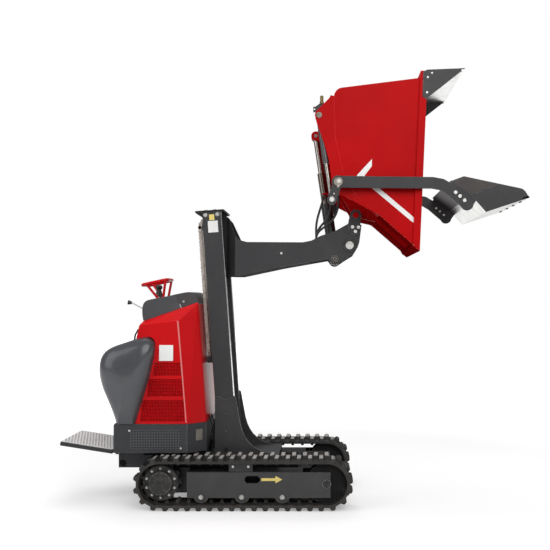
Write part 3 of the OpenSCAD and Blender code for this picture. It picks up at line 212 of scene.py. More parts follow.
def paint(name, tone, rough, coat=0.0, dust=0.1, chips=0.0, peel=0.12, sheen=0.4):
    """Sprayed paint: slow drift of tone, orange peel, a film of dust and chips down to bare steel."""
    f = Finish(name)
    smear = f.noise(9, 5)
    streak = f.noise(30, 3, (1, 1, 0.12))
    dusty = f.band(smear + streak * 0.35, 0.62, 0.95) * dust
    chipped = f.band(f.noise(210, 4) + f.noise(26, 2) * 0.7, 0.86, 0.93) * chips
    colour = f.mix(f.band(f.noise(2.4), 0.35, 0.68), shade(tone, 0.93), shade(tone, 1.06))
    colour = f.mix(dusty, colour, DUST)
    colour = f.mix(chipped, colour, BARE)
    return f.done({
        "Base Color": colour,
        "Roughness": rough + dusty * 0.3 + f.noise(60, 3) * 0.08 - 0.04,
        "Metallic": chipped * 0.7,
        "Specular IOR Level": sheen,
        "Coat Weight": coat,
        "Normal": f.relief(f.noise(520, 2), 0.0006, peel),
    })


def bare_metal(name, tone, rough, stretch, stain, stain_tone=SOIL, lines=0.25):
    """Bare or plated metal with rolling lines, smears and stains."""
    f = Finish(name)
    rolled = f.noise(40, 4, stretch)
    smear = f.noise(13, 5)
    stained = f.band(f.noise(17, 6), 0.5, 0.72) * stain
    colour = f.mix(f.band(smear, 0.3, 0.75), shade(tone, 0.9), shade(tone, 1.04))
    colour = f.mix(stained, colour, stain_tone)
    return f.done({
        "Base Color": colour,
        "Metallic": 1.0 - stained * 0.8,
        "Roughness": rough + rolled * 0.12 - 0.06 + stained * 0.4,
        "Normal": f.relief(rolled, 0.0004, lines),
    })


def moulding(name, tone, rough, grain=0.3, coat=0.0):
    """Moulded plastic with a fine leather-like grain and a little dust."""
    f = Finish(name)
    cells = f.node("TexVoronoi", None, {"Vector": f.where, "Scale": 620.0}, "Distance")
    dusty = f.band(f.noise(7, 5), 0.5, 0.85) * 0.12
    colour = f.mix(f.band(f.noise(3), 0.3, 0.7), shade(tone, 0.94), shade(tone, 1.05))
    return f.done({
        "Base Color": f.mix(dusty, colour, DUST),
        "Roughness": rough + f.noise(40, 4) * 0.1 - 0.05,
        "Coat Weight": coat,
        "Normal": f.relief(cells, 0.0005, grain),
    })


def track_rubber(name):
    """Moulded rubber: grey with dust, brown with soil towards the ground, painted highlight on the top run's
    lugs.
    """
    f = Finish(name)
    height = f.upright(f.where)
    low = f.band(height, 0.34, 0.02)
    dusty = f.band(f.noise(24, 6) + low * 0.12, 0.45, 0.82) * 0.32
    soiled = f.band(f.noise(60, 5) + low * 0.25, 0.68, 0.92) * 0.45
    colour = f.mix(dusty, srgb(31, 29, 28), srgb(92, 87, 82))
    colour = f.mix(soiled, colour, srgb(72, 63, 54))
    # Painted highlight: pale glints on the upward faces of the lug tops on the top run.
    upward = f.band(f.upright(f.node("NewGeometry", out="Normal")), 0.35, 0.95)
    lug_tops = f.band(height, 0.334, 0.343)
    painted_glint = upward * lug_tops * f.band(f.noise(90, 5), 0.25, 0.55)
    colour = f.mix(painted_glint * 0.85, colour, srgb(204, 199, 194))
    return f.done({
        "Base Color": colour,
        "Roughness": 0.6 + dusty * 0.3 - painted_glint * 0.3,
        "Normal": f.relief(f.noise(260, 4), 0.0012, 0.35),
    })


def hose_rubber(name):
    """Ribbed hose cover: fine rings across the length, with a dull sheen."""
    f = Finish(name)
    return f.done({
        "Base Color": f.mix(f.band(f.noise(30, 4), 0.4, 0.75), srgb(34, 34, 35), srgb(62, 61, 60)),
        "Roughness": 0.5 + f.noise(80, 3) * 0.15,
        "Normal": f.relief(f.wave("Z", 95.0), 0.0008, 0.3),
    })


def chain_steel(name):
    """Greased chain: pale plates, smeared with dark grease and rusty at the bottom end."""
    f = Finish(name)
    rust = f.band(f.upright(f.where) + f.noise(30, 4) * 0.12, 1.1, 0.99)
    grease = f.band(f.noise(45, 5), 0.48, 0.7) * 0.5
    colour = f.mix(grease, srgb(192, 182, 174), srgb(92, 82, 74))
    return f.done({
        "Base Color": f.mix(rust * 0.75, colour, srgb(104, 62, 44)),
        "Metallic": 0.75 - rust * 0.5,
        "Roughness": 0.42 + grease * 0.25,
        "Normal": f.relief(f.noise(300, 3), 0.0005, 0.3),
    })


def vent_mesh(name):
    """Pressed vent: rows of holes where two waves cross, their darkness painted shade."""
    f = Finish(name)
    hole = f.band(f.wave("X", 18.0) * f.wave("Z", 18.0), 0.25, 0.55)
    return f.done({
        "Base Color": f.mix(hole, srgb(66, 67, 70), srgb(16, 16, 17)),
        "Roughness": 0.5 + hole * 0.3,
        "Normal": f.relief(1.0 - hole, 0.002, 0.8),
    })


RED, GREY, SKIRT = srgb(210, 10, 18), srgb(55, 55, 57), srgb(56, 57, 60)
RED_PAINT = paint("red_paint", RED, 0.32, coat=0.03, dust=0.006, peel=0.08, sheen=0.18)
RED_EDGE = paint("red_paint_edge", shade(RED, 1.05), 0.3, coat=0.03, dust=0.006, peel=0.08, sheen=0.2)
# A pale red for beads on the bonnet's fold and crease: a painted highlight.
RED_PAINTED_HIGHLIGHT = paint("red_painted_highlight", srgb(234, 134, 132), 0.25, coat=0.1, dust=0.01, peel=0.05)
SKIP_RED = paint("skip_red_paint", srgb(192, 8, 12), 0.45, dust=0.004, chips=0.003, peel=0.08, sheen=0.06)
SKIP_EDGE = paint("skip_red_edge", srgb(178, 10, 14), 0.55, dust=0.0, peel=0.05, sheen=0.04)
SKIP_SHADE = paint("skip_shaded_red", srgb(158, 8, 12), 0.9, dust=0.0, peel=0.05, sheen=0.0)
GRILLE_RED = paint("grille_red", srgb(220, 24, 30), 0.5, dust=0.02, peel=0.1, sheen=0.2)
# A dark red for the plates behind the grilles: painted shade.
GRILLE_PAINTED_SHADE = paint("grille_painted_shade", srgb(92, 14, 17), 0.8, dust=0.02, peel=0.1, sheen=0.05)
DARK_PAINT = paint("dark_grey_paint", GREY, 0.46, dust=0.04, peel=0.2, sheen=0.3)
DARK_EDGE = paint("dark_grey_edge", shade(GREY, 1.5), 0.42, dust=0.12, chips=0.6, peel=0.2)
# A darker matt grey: painted shade for undersides, on the mast cap and the boom's middle faces.
MATT_PAINTED_SHADE = paint("matt_dark_painted_shade", srgb(42, 42, 43), 0.8, dust=0.04, peel=0.2, sheen=0.04)
# A lighter warm grey: the cheek tops' tone, and painted light on the boom's flare.
WARM_GREY = paint("warm_grey_paint", srgb(70, 66, 64), 0.5, dust=0.08, peel=0.2, sheen=0.3)
SKIRT_PAINT = paint("skirt_paint", SKIRT, 0.48, dust=0.03, peel=0.25, sheen=0.3)
SKIRT_EDGE = paint("skirt_edge", shade(SKIRT, 1.4), 0.44, dust=0.12, chips=0.4, peel=0.25)
BLACK_PAINT = paint("black_paint", srgb(30, 30, 32), 0.34, coat=0.2, dust=0.12)
BLACK_EDGE = paint("black_edge", srgb(48, 48, 50), 0.34, coat=0.2, dust=0.12, chips=0.3)
BARREL_PAINT = paint("barrel_paint", srgb(66, 66, 68), 0.22, coat=0.4, dust=0.05)
FRAME_PAINT = paint("track_frame_paint", srgb(64, 64, 65), 0.44, dust=0.05, peel=0.2, sheen=0.35)
WHEEL_BLACK = paint("wheel_black", srgb(30, 29, 29), 0.7, peel=0.3, sheen=0.1)
CAST = paint("cast_metal", srgb(45, 44, 44), 0.55, dust=0.14, chips=0.1, peel=0.5, sheen=0.3)
TREAD_STEEL = paint("tread_steel", srgb(252, 252, 251), 0.4, dust=0.02, peel=0.2, sheen=0.6)
# A grey for the plate under the tread: painted shade seen through its holes.
TREAD_PAINTED_SHADE = paint("tread_painted_shade", srgb(132, 130, 128), 0.7)
PATCH_GREY = paint("patch_grey", srgb(112, 107, 100), 0.4, dust=0.5, chips=0.2, peel=0.3)
WHITE_FILM = paint("white_film", srgb(252, 252, 250), 0.35, coat=0.1, dust=0.06, peel=0.02)
YELLOW_FILM = paint("yellow_film", srgb(252, 228, 134), 0.38, coat=0.1, peel=0.02)
DASH_MOULDING = moulding("dash_moulding", srgb(60, 61, 65), 0.36)
DASH_FRONT = moulding("dash_front_moulding", srgb(51, 47, 48), 0.36)
TANK_MOULDING = moulding("tank_moulding", srgb(68, 70, 75), 0.34, grain=0.12, coat=0.3)
BLACK_PLASTIC = moulding("black_plastic", srgb(28, 28, 29), 0.38, grain=0.15)
TRACK_RUBBER = track_rubber("track_rubber")
HOSE_RUBBER = hose_rubber("hose_rubber")
CHAIN_STEEL = chain_steel("chain_steel")
VENT_MESH = vent_mesh("vent_mesh")

# How a metal's lines run: the pattern is squeezed along the axes with a 30
ROD_LINES, SHEET_LINES, EDGE_LINES, SLIDE_LINES, NO_LINES = (
    (1, 1, 30), (1, 30, 1), (30, 1, 30), (30, 30, 1), (1, 1, 1))
CHROME = bare_metal("chrome_steel", srgb(226, 227, 230), 0.14, ROD_LINES, 0.06, lines=0.05)
# A rod steel darker than chrome: its darkness is painted shade on the rods.
SHADED_ROD_STEEL = bare_metal("rod_steel", srgb(156, 151, 146), 0.2, ROD_LINES, 0.3)
DARK_ROD = bare_metal("oiled_rod_steel", srgb(112, 104, 97), 0.22, ROD_LINES, 0.35)
ZINC = bare_metal("zinc_bolts", srgb(192, 191, 187), 0.38, NO_LINES, 0.2)
DULL_STEEL = bare_metal("dull_steel", srgb(130, 124, 116), 0.46, NO_LINES, 0.4)
BRASS = bare_metal("brass_fitting", srgb(116, 100, 66), 0.4, NO_LINES, 0.5)
SHEET_STEEL = bare_metal("sheet_steel", srgb(206, 206, 203), 0.3, SHEET_LINES, 0.12, srgb(190, 188, 184),
                         0.08)
DEFLECTOR_STEEL = bare_metal("deflector_steel", srgb(212, 212, 210), 0.3, SHEET_LINES, 0.1, BARE, 0.08)
WORN_STEEL = bare_metal("worn_edge_steel", srgb(190, 188, 184), 0.38, EDGE_LINES, 0.6)
SOILED_STEEL = bare_metal("soiled_steel", srgb(150, 146, 140), 0.5, EDGE_LINES, 0.95, srgb(70, 62, 54))
SLIDE_STEEL = bare_metal("polished_slide", srgb(236, 236, 236), 0.2, SLIDE_LINES, 0.25, srgb(120, 112, 104))

# Pairs: the finish of the faces, and that of the edges broken between them
DARK = (DARK_PAINT, DARK_EDGE)
BLACK = (BLACK_PAINT, BLACK_EDGE)
SKIRTING = (SKIRT_PAINT, SKIRT_EDGE)
WORN_CAST = (CAST, WORN_STEEL)

# Modelling

WELD_M = 0.00001


def start():
    """Clears the selection, so that the next operator acts on its own piece alone."""
    bpy.ops.object.select_all(action="DESELECT")


def only(piece):
    """Selects one piece and makes it the active one."""
    start()
    piece.select_set(True)
    bpy.context.view_layer.objects.active = piece


def settle(name):
    """Names the active piece and brings it to the origin, unturned and unscaled."""
    piece = bpy.context.object
    bpy.ops.object.transform_apply(location=True, rotation=True, scale=True)
    piece.name = piece.data.name = name
    return piece


def edit_all(*steps):
    """Runs edit-mode steps on the active piece, each with the whole piece selected."""
    bpy.ops.object.mode_set(mode="EDIT")
    for step in steps:
        bpy.ops.mesh.select_all(action="SELECT")
        step()
    bpy.ops.object.mode_set(mode="OBJECT")


def outwards():
    bpy.ops.mesh.normals_make_consistent(inside=False)


def weld():
    bpy.ops.mesh.remove_doubles(threshold=WELD_M)


def extruded(depth):
    """A step that pulls the selection out by a depth."""
    return lambda: bpy.ops.mesh.extrude_region_move(TRANSFORM_OT_translate={"value": depth})


def bisected(spot, normal, **options):
    """A step that cuts the selection along a plane."""
    return lambda: bpy.ops.mesh.bisect(plane_co=spot, plane_no=normal, **options)


def applied(piece, name, kind, **settings):
    """Adds a modifier to the active piece, sets it and applies it."""
    modifier = piece.modifiers.new(name, kind)
    for key, value in settings.items():
        setattr(modifier, key, value)
    bpy.ops.object.modifier_apply(modifier=modifier.name)


def drawn(points, fill="NGON"):
    """A closed outline through points, from a circle with as many vertices."""
    start()
    bpy.ops.mesh.primitive_circle_add(vertices=len(points), radius=1, fill_type=fill)
    piece = bpy.context.object
    for vertex, point in zip(piece.data.vertices, points):
        vertex.co = point
    return piece


def block(name, low, high):
    """A cube brought to two opposite corners; a negative scale would turn it inside out."""
    start()
    low, high = place(*low), place(*high)
    bpy.ops.mesh.primitive_cube_add(size=1, location=(low + high) / 2)
    bpy.context.object.scale = [abs(length) for length in high - low]
    return settle(name)


def plate(name, outline, y0, y1):
    """A plate cut to a side outline of (x, z) and extruded from y0 to y1."""
    drawn([place(x, y0, z) for x, z in outline])
    edit_all(extruded((0, (y1 - y0) / 1000, 0)), outwards)
    return settle(name)


def facing(centre, axis):
    """The matrix that stands a piece modelled along +Z at a place, along an axis."""
    return Matrix.Translation(centre) @ Vector(axis).to_track_quat("Z", "Y").to_matrix().to_4x4()


def turned(name, profile, centre, axis, steps=40):
    """A lathe piece: a closed profile of (along, radius) spun about an axis through centre."""
    piece = drawn([(radius / 1000, 0, along / 1000) for along, radius in profile], "NOTHING")
    edit_all(lambda: bpy.ops.mesh.spin(steps=steps, angle=2 * math.pi, center=(0, 0, 0), axis=(0, 0, 1)),
             weld, lambda: bpy.ops.mesh.dissolve_degenerate(threshold=WELD_M), outwards)
    piece.matrix_world = facing(centre, axis)
    return settle(name)


def pipe(name, points, radius, closed=False, resolution=3):
    """A round tube along points, made from a curve."""
    start()
    bpy.ops.curve.primitive_nurbs_path_add()
    curve = bpy.context.object.data
    curve.splines.clear()
    spline = curve.splines.new("POLY")
    spline.points.add(len(points) - 1)
    for knot, point in zip(spline.points, points):
        knot.co = (*point, 1)
    spline.use_cyclic_u = closed
    curve.bevel_depth = radius / 1000
    curve.bevel_resolution = resolution
    curve.use_fill_caps = True
    bpy.ops.object.convert(target="MESH")
    edit_all(weld, outwards)
    bpy.ops.object.shade_smooth_by_angle(angle=math.radians(50))
    return settle(name)


def smooth(points, steps=6):
    """A Catmull-Rom path through points."""
    points = [Vector(p) for p in points]
    ends = [points[0] * 2 - points[1], *points, points[-1] * 2 - points[-2]]
    path = []
    for a, b, c, d in zip(ends, ends[1:], ends[2:], ends[3:]):
        for i in range(steps):
            t = i / steps
            path.append((b * 2 + (c - a) * t + (a * 2 - b * 5 + c * 4 - d) * t * t
                         + (b * 3 - a - c * 3 + d) * t ** 3) / 2)
    return path + [points[-1]]


def arc(radius, degrees):
    """Places on a circle, at angles in degrees."""
    return [(radius * math.cos(a), radius * math.sin(a)) for a in map(math.radians, degrees)]


def duplicate(source, name):
    """A free copy with its own mesh, without the source's parent and properties."""
    piece = source.copy()
    piece.data = source.data.copy()
    for key in list(piece.keys()):
        del piece[key]
    piece.parent = None
    piece.name = piece.data.name = name
    return linked(piece)


def joined(name, pieces):
    """Makes several pieces one."""
    start()
    for piece in pieces:
        piece.select_set(True)
    bpy.context.view_layer.objects.active = pieces[0]
    if len(pieces) > 1:
        bpy.ops.object.join()
    pieces[0].name = pieces[0].data.name = name
    return pieces[0]


def scattered(name, master, matrices):
    """A master copied to each place and joined; the master goes."""
    made = []
    for matrix in matrices:
        copy = duplicate(master, name)
        copy.data.transform(matrix)
        made.append(copy)
    bpy.data.objects.remove(master)
    return joined(name, made)


def coated(piece, *finishes):
    """Gives a piece its finishes, the first one on every face."""
    piece.data.materials.clear()
    for finish in finishes:
        piece.data.materials.append(finish)
    return piece


def evened(piece, angle):
    """Smooth shading up to an angle, with flat faces kept flat by weighted normals."""
    only(piece)
    bpy.ops.object.shade_smooth_by_angle(angle=math.radians(angle))
    applied(piece, "flat_faces", "WEIGHTED_NORMAL", keep_sharp=True)
    return piece


def bevelled(piece, width, segments=2, angle=32):
    """Breaks the sharp edges; the new faces take the second finish where there is one."""
    only(piece)
    applied(piece, "broken_edges", "BEVEL", width=width / 1000, segments=segments, limit_method="ANGLE",
            angle_limit=math.radians(angle), material=1 if len(piece.data.materials) > 1 else -1)
    return evened(piece, 40)


def riding(piece, body, slot, *nodes):
    """Sets a piece to ride a body, in the place of the nodes that it stands for."""
    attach(piece, body)
    if nodes:
        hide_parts(*nodes)
    return piece


def fitted(piece, finishes, body, slot, *nodes, edge=0):
    """Coats a new piece with one finish or a pair, breaks its edges and sets it to ride a body."""
    coated(piece, *(finishes if isinstance(finishes, tuple) else (finishes,)))
    if edge:
        bevelled(piece, edge)
    return riding(piece, body, slot, *nodes)


def refined(node, width, *finishes, shaped=None):
    """A copy of a CAD node with its triangles welded into faces and its edges broken."""
    piece = duplicate(frame["nodes"][node], node + "_finished")
    only(piece)
    bpy.ops.mesh.customdata_custom_splitnormals_clear()
    edit_all(weld, lambda: bpy.ops.mesh.dissolve_limited(angle_limit=math.radians(0.4)))
    if shaped:
        shaped(piece)
    coated(piece, *finishes)
    if width:
        bevelled(piece, width)
    else:
        evened(piece, 32)
    return riding(piece, BODY_OF[node], SLOT_OF[node], node)


def tinted(piece, finish, test):
    """Gives the faces whose middles pass a test, in the machine's millimetres, another finish."""
    piece.data.materials.append(finish)
    for face in piece.data.polygons:
        x, y, z = (piece.matrix_world @ face.center) * 1000
        if test(x + X_MID, y, z):
            face.material_index = len(piece.data.materials) - 1
    return piece


def near(point, reach, half=math.inf):
    """A test for places within a reach of a cross axis through (x, z), and half or less from the middle."""
    return lambda x, y, z: math.hypot(x - point[0], z - point[1]) < reach and abs(y) < half


def bolt_master(across, height, washer):
    """A hexagon head with a chamfered crown on a round washer, standing on z = 0."""
    start()
    foot = 2.0 if washer else 0.0
    bpy.ops.mesh.primitive_cylinder_add(vertices=6, radius=across / 1000, depth=height / 1000,
                                        location=(0, 0, (foot + height / 2) / 1000))
    parts = [bevelled(settle("bolt_head"), across * 0.14)]
    if washer:
        rim, crown = across * 1.45, across * 1.35
        profile = [(0, 0), (0, rim), (foot * 0.8, rim), (foot, crown), (foot, 0)]
        parts.append(turned("bolt_washer", profile, Vector(), (0, 0, 1), 20))
    return joined("bolt_master", parts)


def bolts(name, body, places, axis, across, height, finish=ZINC, slot="bright_steel", washer=True):
    """A set of like bolts, their heads along an axis."""
    master = coated(bolt_master(across, height, washer), finish)
    return riding(scattered(name, master, [facing(place(*p), axis) for p in places]), body, slot)


# Pieces that come as a pair, right and left; their y is the distance from the middle


def mirrored(points, side):
    return [(x, side * y, z) for x, y, z in points]


def side_bolts(name, body, places, across, height, **looks):
    """Bolts on each side, their heads outwards."""
    for side, word in SIDES:
        bolts("%s_%s" % (name, word), body, mirrored(places, side), (0, side, 0), across, height, **looks)


def side_plates(name, outline, y0, y1, finishes, body, slot, edge=0):
    """A plate on each side, cut to a side outline of (x, z)."""
    for side, word in SIDES:
        fitted(plate("%s_%s" % (name, word), outline, side * y0, side * y1), finishes, body, slot, edge=edge)


def side_rounds(name, profile, centre, steps, finishes, body, slot, axis=None, edge=0):
    """A lathe piece on each side, along an axis or else straight out."""
    for side, word in SIDES:
        middle = place(*mirrored([centre], side)[0])
        piece = turned("%s_%s" % (name, word), profile, middle, axis or (0, side, 0), steps)
        fitted(piece, finishes, body, slot, edge=edge)


def side_beads(name, points, radius, finish, body, slot):
    """A thin line of weld, pipe or joint on each side, or a pale bead on a fold as a painted highlight."""
    for side, word in SIDES:
        line = [place(*p) for p in mirrored(points, side)]
        fitted(pipe("%s_%s" % (name, word), line, radius, False, 1), finish, body, slot)


def side_sheets(name, corners, thickness, finish, body, slot):
    """A thin plate on four corners on each side, thickened outwards."""
    for side, word in SIDES:
        start()
        bpy.ops.mesh.primitive_plane_add(size=1)
        a, b, c, d = [place(*p) for p in mirrored(corners, side)]
        if side == LEFT:
            a, b, c, d = b, a, d, c
        for vertex, corner in zip(bpy.context.object.data.vertices, (a, b, d, c)):
            vertex.co = corner
        edit_all(extruded((b - a).cross(d - a).normalized() * thickness / 1000), outwards)
        fitted(settle("%s_%s" % (name, word)), finish, body, slot)


# Hydraulic hoses between boom and skip

HOSE_R = 8.0
HOSE_ROUTES = [
    [(468, -84, 1778), (468, -84, 1800), (467, -84, 1835), (468, -83, 1875), (474, -82, 1915),
     (484, -82, 1955), (496, -83, 1995), (507, -84, 2030), (514, -84, 2060), (516, -84, 2080)],
    [(468, -104, 1778), (469, -104, 1800), (478, -105, 1835), (498, -108, 1868), (525, -110, 1900),
     (548, -110, 1935), (562, -108, 1975), (568, -106, 2015), (570, -104, 2050), (570, -104, 2080)],
    [(468, -124, 1778), (470, -124, 1800), (485, -125, 1830), (514, -127, 1856), (548, -128, 1882),
     (580, -128, 1914), (603, -126, 1952), (616, -125, 1996), (621, -124, 2040), (621, -124, 2080)],
]
for number, route in enumerate(HOSE_ROUTES, 1):
    line = smooth([place(*p) for p in route], 5)
    hose = coated(pipe("boom_hose_%d" % number, line, HOSE_R), HOSE_RUBBER)
    length = sum((b - a).length for a, b in zip(line, line[1:]))
    if number == 1:
        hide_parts("boom_hoses")
    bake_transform(hose)

# Tracks

TRACK_Y, AXLE_Z = 380.0, 172.5
BELT_IN, BELT_OUT, PITCH_R = 132.5, 150.5, 137.5
LINKS, BELT_W = 42, 230.0
LINK = (4 * AXLE_X + 2 * math.pi * PITCH_R) / LINKS
LUG = {"length": 44, "width": 127, "tip": 24, "height": 22.0}
LUG_Y = 51.5
HORN = {"length": 30, "width": 20, "tip": 17, "height": 24}
HORN_Y = 35
BLOCK_SINK, BLOCK_DRAFT = 3.0, 14


def on_belt(distance, radius):
    """The matrix of a place along the belt: x along the run, y across it, z out of the belt."""
    run = 2 * AXLE_X
    turn = math.pi * PITCH_R
    distance %= 2 * run + 2 * turn
    if distance < run:
        x, z, angle = AXLE_X - distance, AXLE_Z + radius, 0.0
    elif distance < run + turn:
        angle = (distance - run) / PITCH_R
        x, z = -AXLE_X - radius * math.sin(angle), AXLE_Z + radius * math.cos(angle)
    elif distance < 2 * run + turn:
        x, z, angle = -AXLE_X + distance - run - turn, AXLE_Z - radius, math.pi
    else:
        angle = math.pi + (distance - 2 * run - turn) / PITCH_R
        x, z = AXLE_X - radius * math.sin(angle), AXLE_Z + radius * math.cos(angle)
    return Matrix.Translation(place(x, 0, z)) @ Matrix.Rotation(-angle, 4, "Y")


def belt_block(name, y, length, width, tip, height):
    """A tapered rubber block standing on the belt, at y across it."""
    start()
    bpy.ops.mesh.primitive_cube_add(size=1, location=(0, y / 1000, (height - BLOCK_SINK) / 2000))
    piece = bpy.context.object
    piece.scale = (length / 1000, width / 1000, (height + BLOCK_SINK) / 1000)
    settle(name)
    for vertex in piece.data.vertices:
        if vertex.co.z > 0:
            vertex.co.x *= tip / length
            vertex.co.y = y / 1000 + (vertex.co.y - y / 1000) * (width - BLOCK_DRAFT) / width
    return bevelled(piece, 4)


def belt(side, word):
    """A rubber belt: a band drawn out between the axles, two rows of lugs and two rows of guide horns."""
    start()
    bpy.ops.mesh.primitive_cylinder_add(vertices=66, radius=BELT_OUT / 1000, depth=BELT_W / 1000,
                                        end_fill_type="NOTHING", rotation=(math.radians(90), 0, 0))
    band = settle("belt_band")
    for vertex in band.data.vertices:
        reach = AXLE_X if vertex.co.x > 0 else -AXLE_X
        vertex.co = place(reach, 0, AXLE_Z) + vertex.co
    applied(band, "thickness", "SOLIDIFY", thickness=(BELT_OUT - BELT_IN) / 1000, offset=-1)
    edit_all(outwards)
    bevelled(band, 4, 2, 60)
    whole = [i * LINK for i in range(LINKS)]
    halfway = [(i + 0.5) * LINK for i in range(LINKS)]
    inwards = Matrix.Rotation(math.pi, 4, "X")
    parts = [band]
    for name, y, shape, along, radius, turn in (
            ("outer_lugs", LUG_Y, LUG, whole, BELT_OUT, Matrix()),
            ("inner_lugs", -LUG_Y, LUG, halfway, BELT_OUT, Matrix()),
            ("horns_a", HORN_Y, HORN, halfway, BELT_IN, inwards),
            ("horns_b", HORN_Y, HORN, halfway, BELT_IN, inwards @ Matrix.Rotation(math.pi, 4, "Z"))):
        master = belt_block(name, y, **shape)
        parts.append(scattered(name, master, [on_belt(distance, radius) @ turn for distance in along]))
    piece = joined("belt_rubber_" + word, parts)
    piece.data.transform(Matrix.Translation((0, side * TRACK_Y / 1000, 0)))
    fitted(piece, TRACK_RUBBER, "root", "track_rubber", "track_belt_" + word)


HUB_CAP = [(58.3, 0), (58.3, 80), (62, 80), (80, 75), (83.5, 71), (83.5, 52), (82.4, 49), (82.4, 0)]
HUB_RING = arc(95, range(18, 378, 36))
ROLLERS = (-274, -11, 252)
ARROW = [(116, 209), (208, 209), (208, 224), (252, 200), (208, 176), (208, 191), (116, 191)]
for side, word in SIDES:
    belt(side, word)
    refined("track_frame_" + word, 2.5, FRAME_PAINT, DARK_EDGE)
    refined("sprocket_" + word, 1.5, *WORN_CAST)
    refined("idler_" + word, 2, WHEEL_BLACK, CAST)
    hub = turned("hub_cap_" + word, HUB_CAP, place(-AXLE_X, side * TRACK_Y, AXLE_Z), (0, side, 0), 48)
    fitted(hub, (CAST, DARK_EDGE), "sprocket_" + word, "cast_metal", edge=1.2)
    ring = [(x - AXLE_X, side * (TRACK_Y + 58), z + AXLE_Z) for x, z in HUB_RING]
    bolts("hub_bolts_" + word, "sprocket_" + word, ring, (0, side, 0), 6, 7, WORN_STEEL)
    for number in range(1, len(ROLLERS) + 1):
        refined("roller_%s_%d" % (word, number), 1.5, *WORN_CAST)
side_bolts("roller_bolts", "root", [(x, TRACK_Y + 88, 86.8) for x in ROLLERS], 10, 6)
side_plates("arrow_mark", ARROW, TRACK_Y + 80.2, TRACK_Y + 80.8, YELLOW_FILM, "root", "dark_grey_paint")
refined("chassis_frame", 3, *SKIRTING)
TIE_PIN = [(-176, 0), (-176, 23.9), (-14, 23.9), (-14, 13), (14, 13), (14, 23.9), (176, 23.9), (176, 0)]
tie_pin = turned("tie_down_pin", TIE_PIN, place(-846, 0, 252), (0, 1, 0), 28)
fitted(tie_pin, WHEEL_BLACK, "root", "black_paint", edge=1.5)
refined("drive_motors", 2, *WORN_CAST)
refined("track_axles", 1.2, *WORN_CAST)
refined("carrier_skids", 2, BLACK_PLASTIC)
tinted(refined("frame_bolts", 1, ZINC), BLACK_PAINT, lambda x, y, z: 300 < z < 700 and abs(y) < 260)

# Mast and lift chains

LEAN = math.radians(4)
MAST_FOOT, MAST_UP = (-130.0, 316.0), (-math.sin(LEAN), 0, math.cos(LEAN))


def on_mast(u, w):
    """Machine x and z of a place u in front of the mast's middle line and w up along it."""
    return (MAST_FOOT[0] + u * math.cos(LEAN) - w * math.sin(LEAN),
            MAST_FOOT[1] + u * math.sin(LEAN) + w * math.cos(LEAN))


def mast_place(u, w, y=0):
    """A place on the mast, in the frame's metres."""
    x, z = on_mast(u, w)
    return place(x, y, z)


def mast_outline(u0, u1, w0, w1):
    """A rectangle with its sides along and across the mast."""
    return [on_mast(u0, w0), on_mast(u1, w0), on_mast(u1, w1), on_mast(u0, w1)]


refined("mast_frame", 2.5, *DARK)
refined("mast_gussets", 2.5, *DARK)
# The cap in the darker matt grey: painted shade for its underside.
refined("mast_cap", 2, MATT_PAINTED_SHADE, DARK_EDGE)
refined("lift_barrel", 1.5, *BLACK)
refined("lift_rod", 1, CHROME)
refined("chain_pulleys", 1.5, *WORN_CAST)
SLIDE_W = (330, 1645)
slides = []
for side in (RIGHT, LEFT):
    slides.append(plate("mast_slide", mast_outline(65.1, 65.7, *SLIDE_W), side * 148, side * 172))
    slides.append(plate("mast_edge", mast_outline(62.6, 65.4, *SLIDE_W), side * 174.6, side * 175.3))
fitted(joined("mast_slides", slides), SLIDE_STEEL, "root", "bright_steel")
cap_places = [(x, y, z) for x, z in (on_mast(u, 1664) for u in (-45, 15)) for y in (-120, 120)]
bolts("cap_bolts", "root", cap_places, MAST_UP, 9, 8)
side_bolts("mast_head_bolts", "root", [(x, 175, z) for x, z in (on_mast(u, 1632) for u in (-43, 39))], 9, 6)
for colour, film, extent in (("white", WHITE_FILM, (-30, 38, 1511, 1590)),
                             ("yellow", YELLOW_FILM, (-18, 17, 1595, 1634))):
    side_plates("mast_%s_plate" % colour, mast_outline(*extent), 175.2, 176, film, "root", "dark_grey_paint")

CHAIN_PITCH, CHAIN_R, CHAIN_WAIST = 25.4, 12.0, 0.72
CHAIN_ROWS = (-60, 60)
LEAF_OFFSETS = ((-8, 8), (-3, 3))
PIN_R, PIN_L = 3.2, 23.5


def chain_outline():
    """A leaf-chain plate: two round ends with a waist between them."""
    right = [(CHAIN_PITCH / 2 + x, z) for x, z in arc(CHAIN_R, (-100, -60, -20, 20, 60, 100))]
    left = [(-x, -z) for x, z in right]
    waist = CHAIN_R * CHAIN_WAIST
    return [(X_MID + x, z) for x, z in [*right, (0, waist), *left, (0, -waist)]]


def chain(name, pins):
    """A leaf chain through pins of (u, w): plates in alternate rows, and a pin through each joint."""
    leaves = {0: [], 1: []}
    for i, (a, b) in enumerate(zip(pins, pins[1:])):
        x0, z0 = on_mast(*a)
        x1, z1 = on_mast(*b)
        tilt = Matrix.Rotation(-math.atan2(z1 - z0, x1 - x0), 4, "Y")
        for row in CHAIN_ROWS:
            for offset in LEAF_OFFSETS[i % 2]:
                middle = place((x0 + x1) / 2, row + offset, (z0 + z1) / 2)
                leaves[i % 2].append(Matrix.Translation(middle) @ tilt)
    master = plate("chain_leaf", chain_outline(), -2, 2)
    parts = [scattered("leaves", master, leaves[0] + leaves[1])]
    start()
    bpy.ops.mesh.primitive_cylinder_add(vertices=10, radius=PIN_R / 1000, depth=PIN_L / 1000,
                                        rotation=(math.radians(90), 0, 0))
    spots = [Matrix.Translation(mast_place(u, w, row)) for u, w in pins for row in CHAIN_ROWS]
    parts.append(scattered("pins", settle("chain_pin"), spots))
    return coated(joined(name, parts), CHAIN_STEEL)


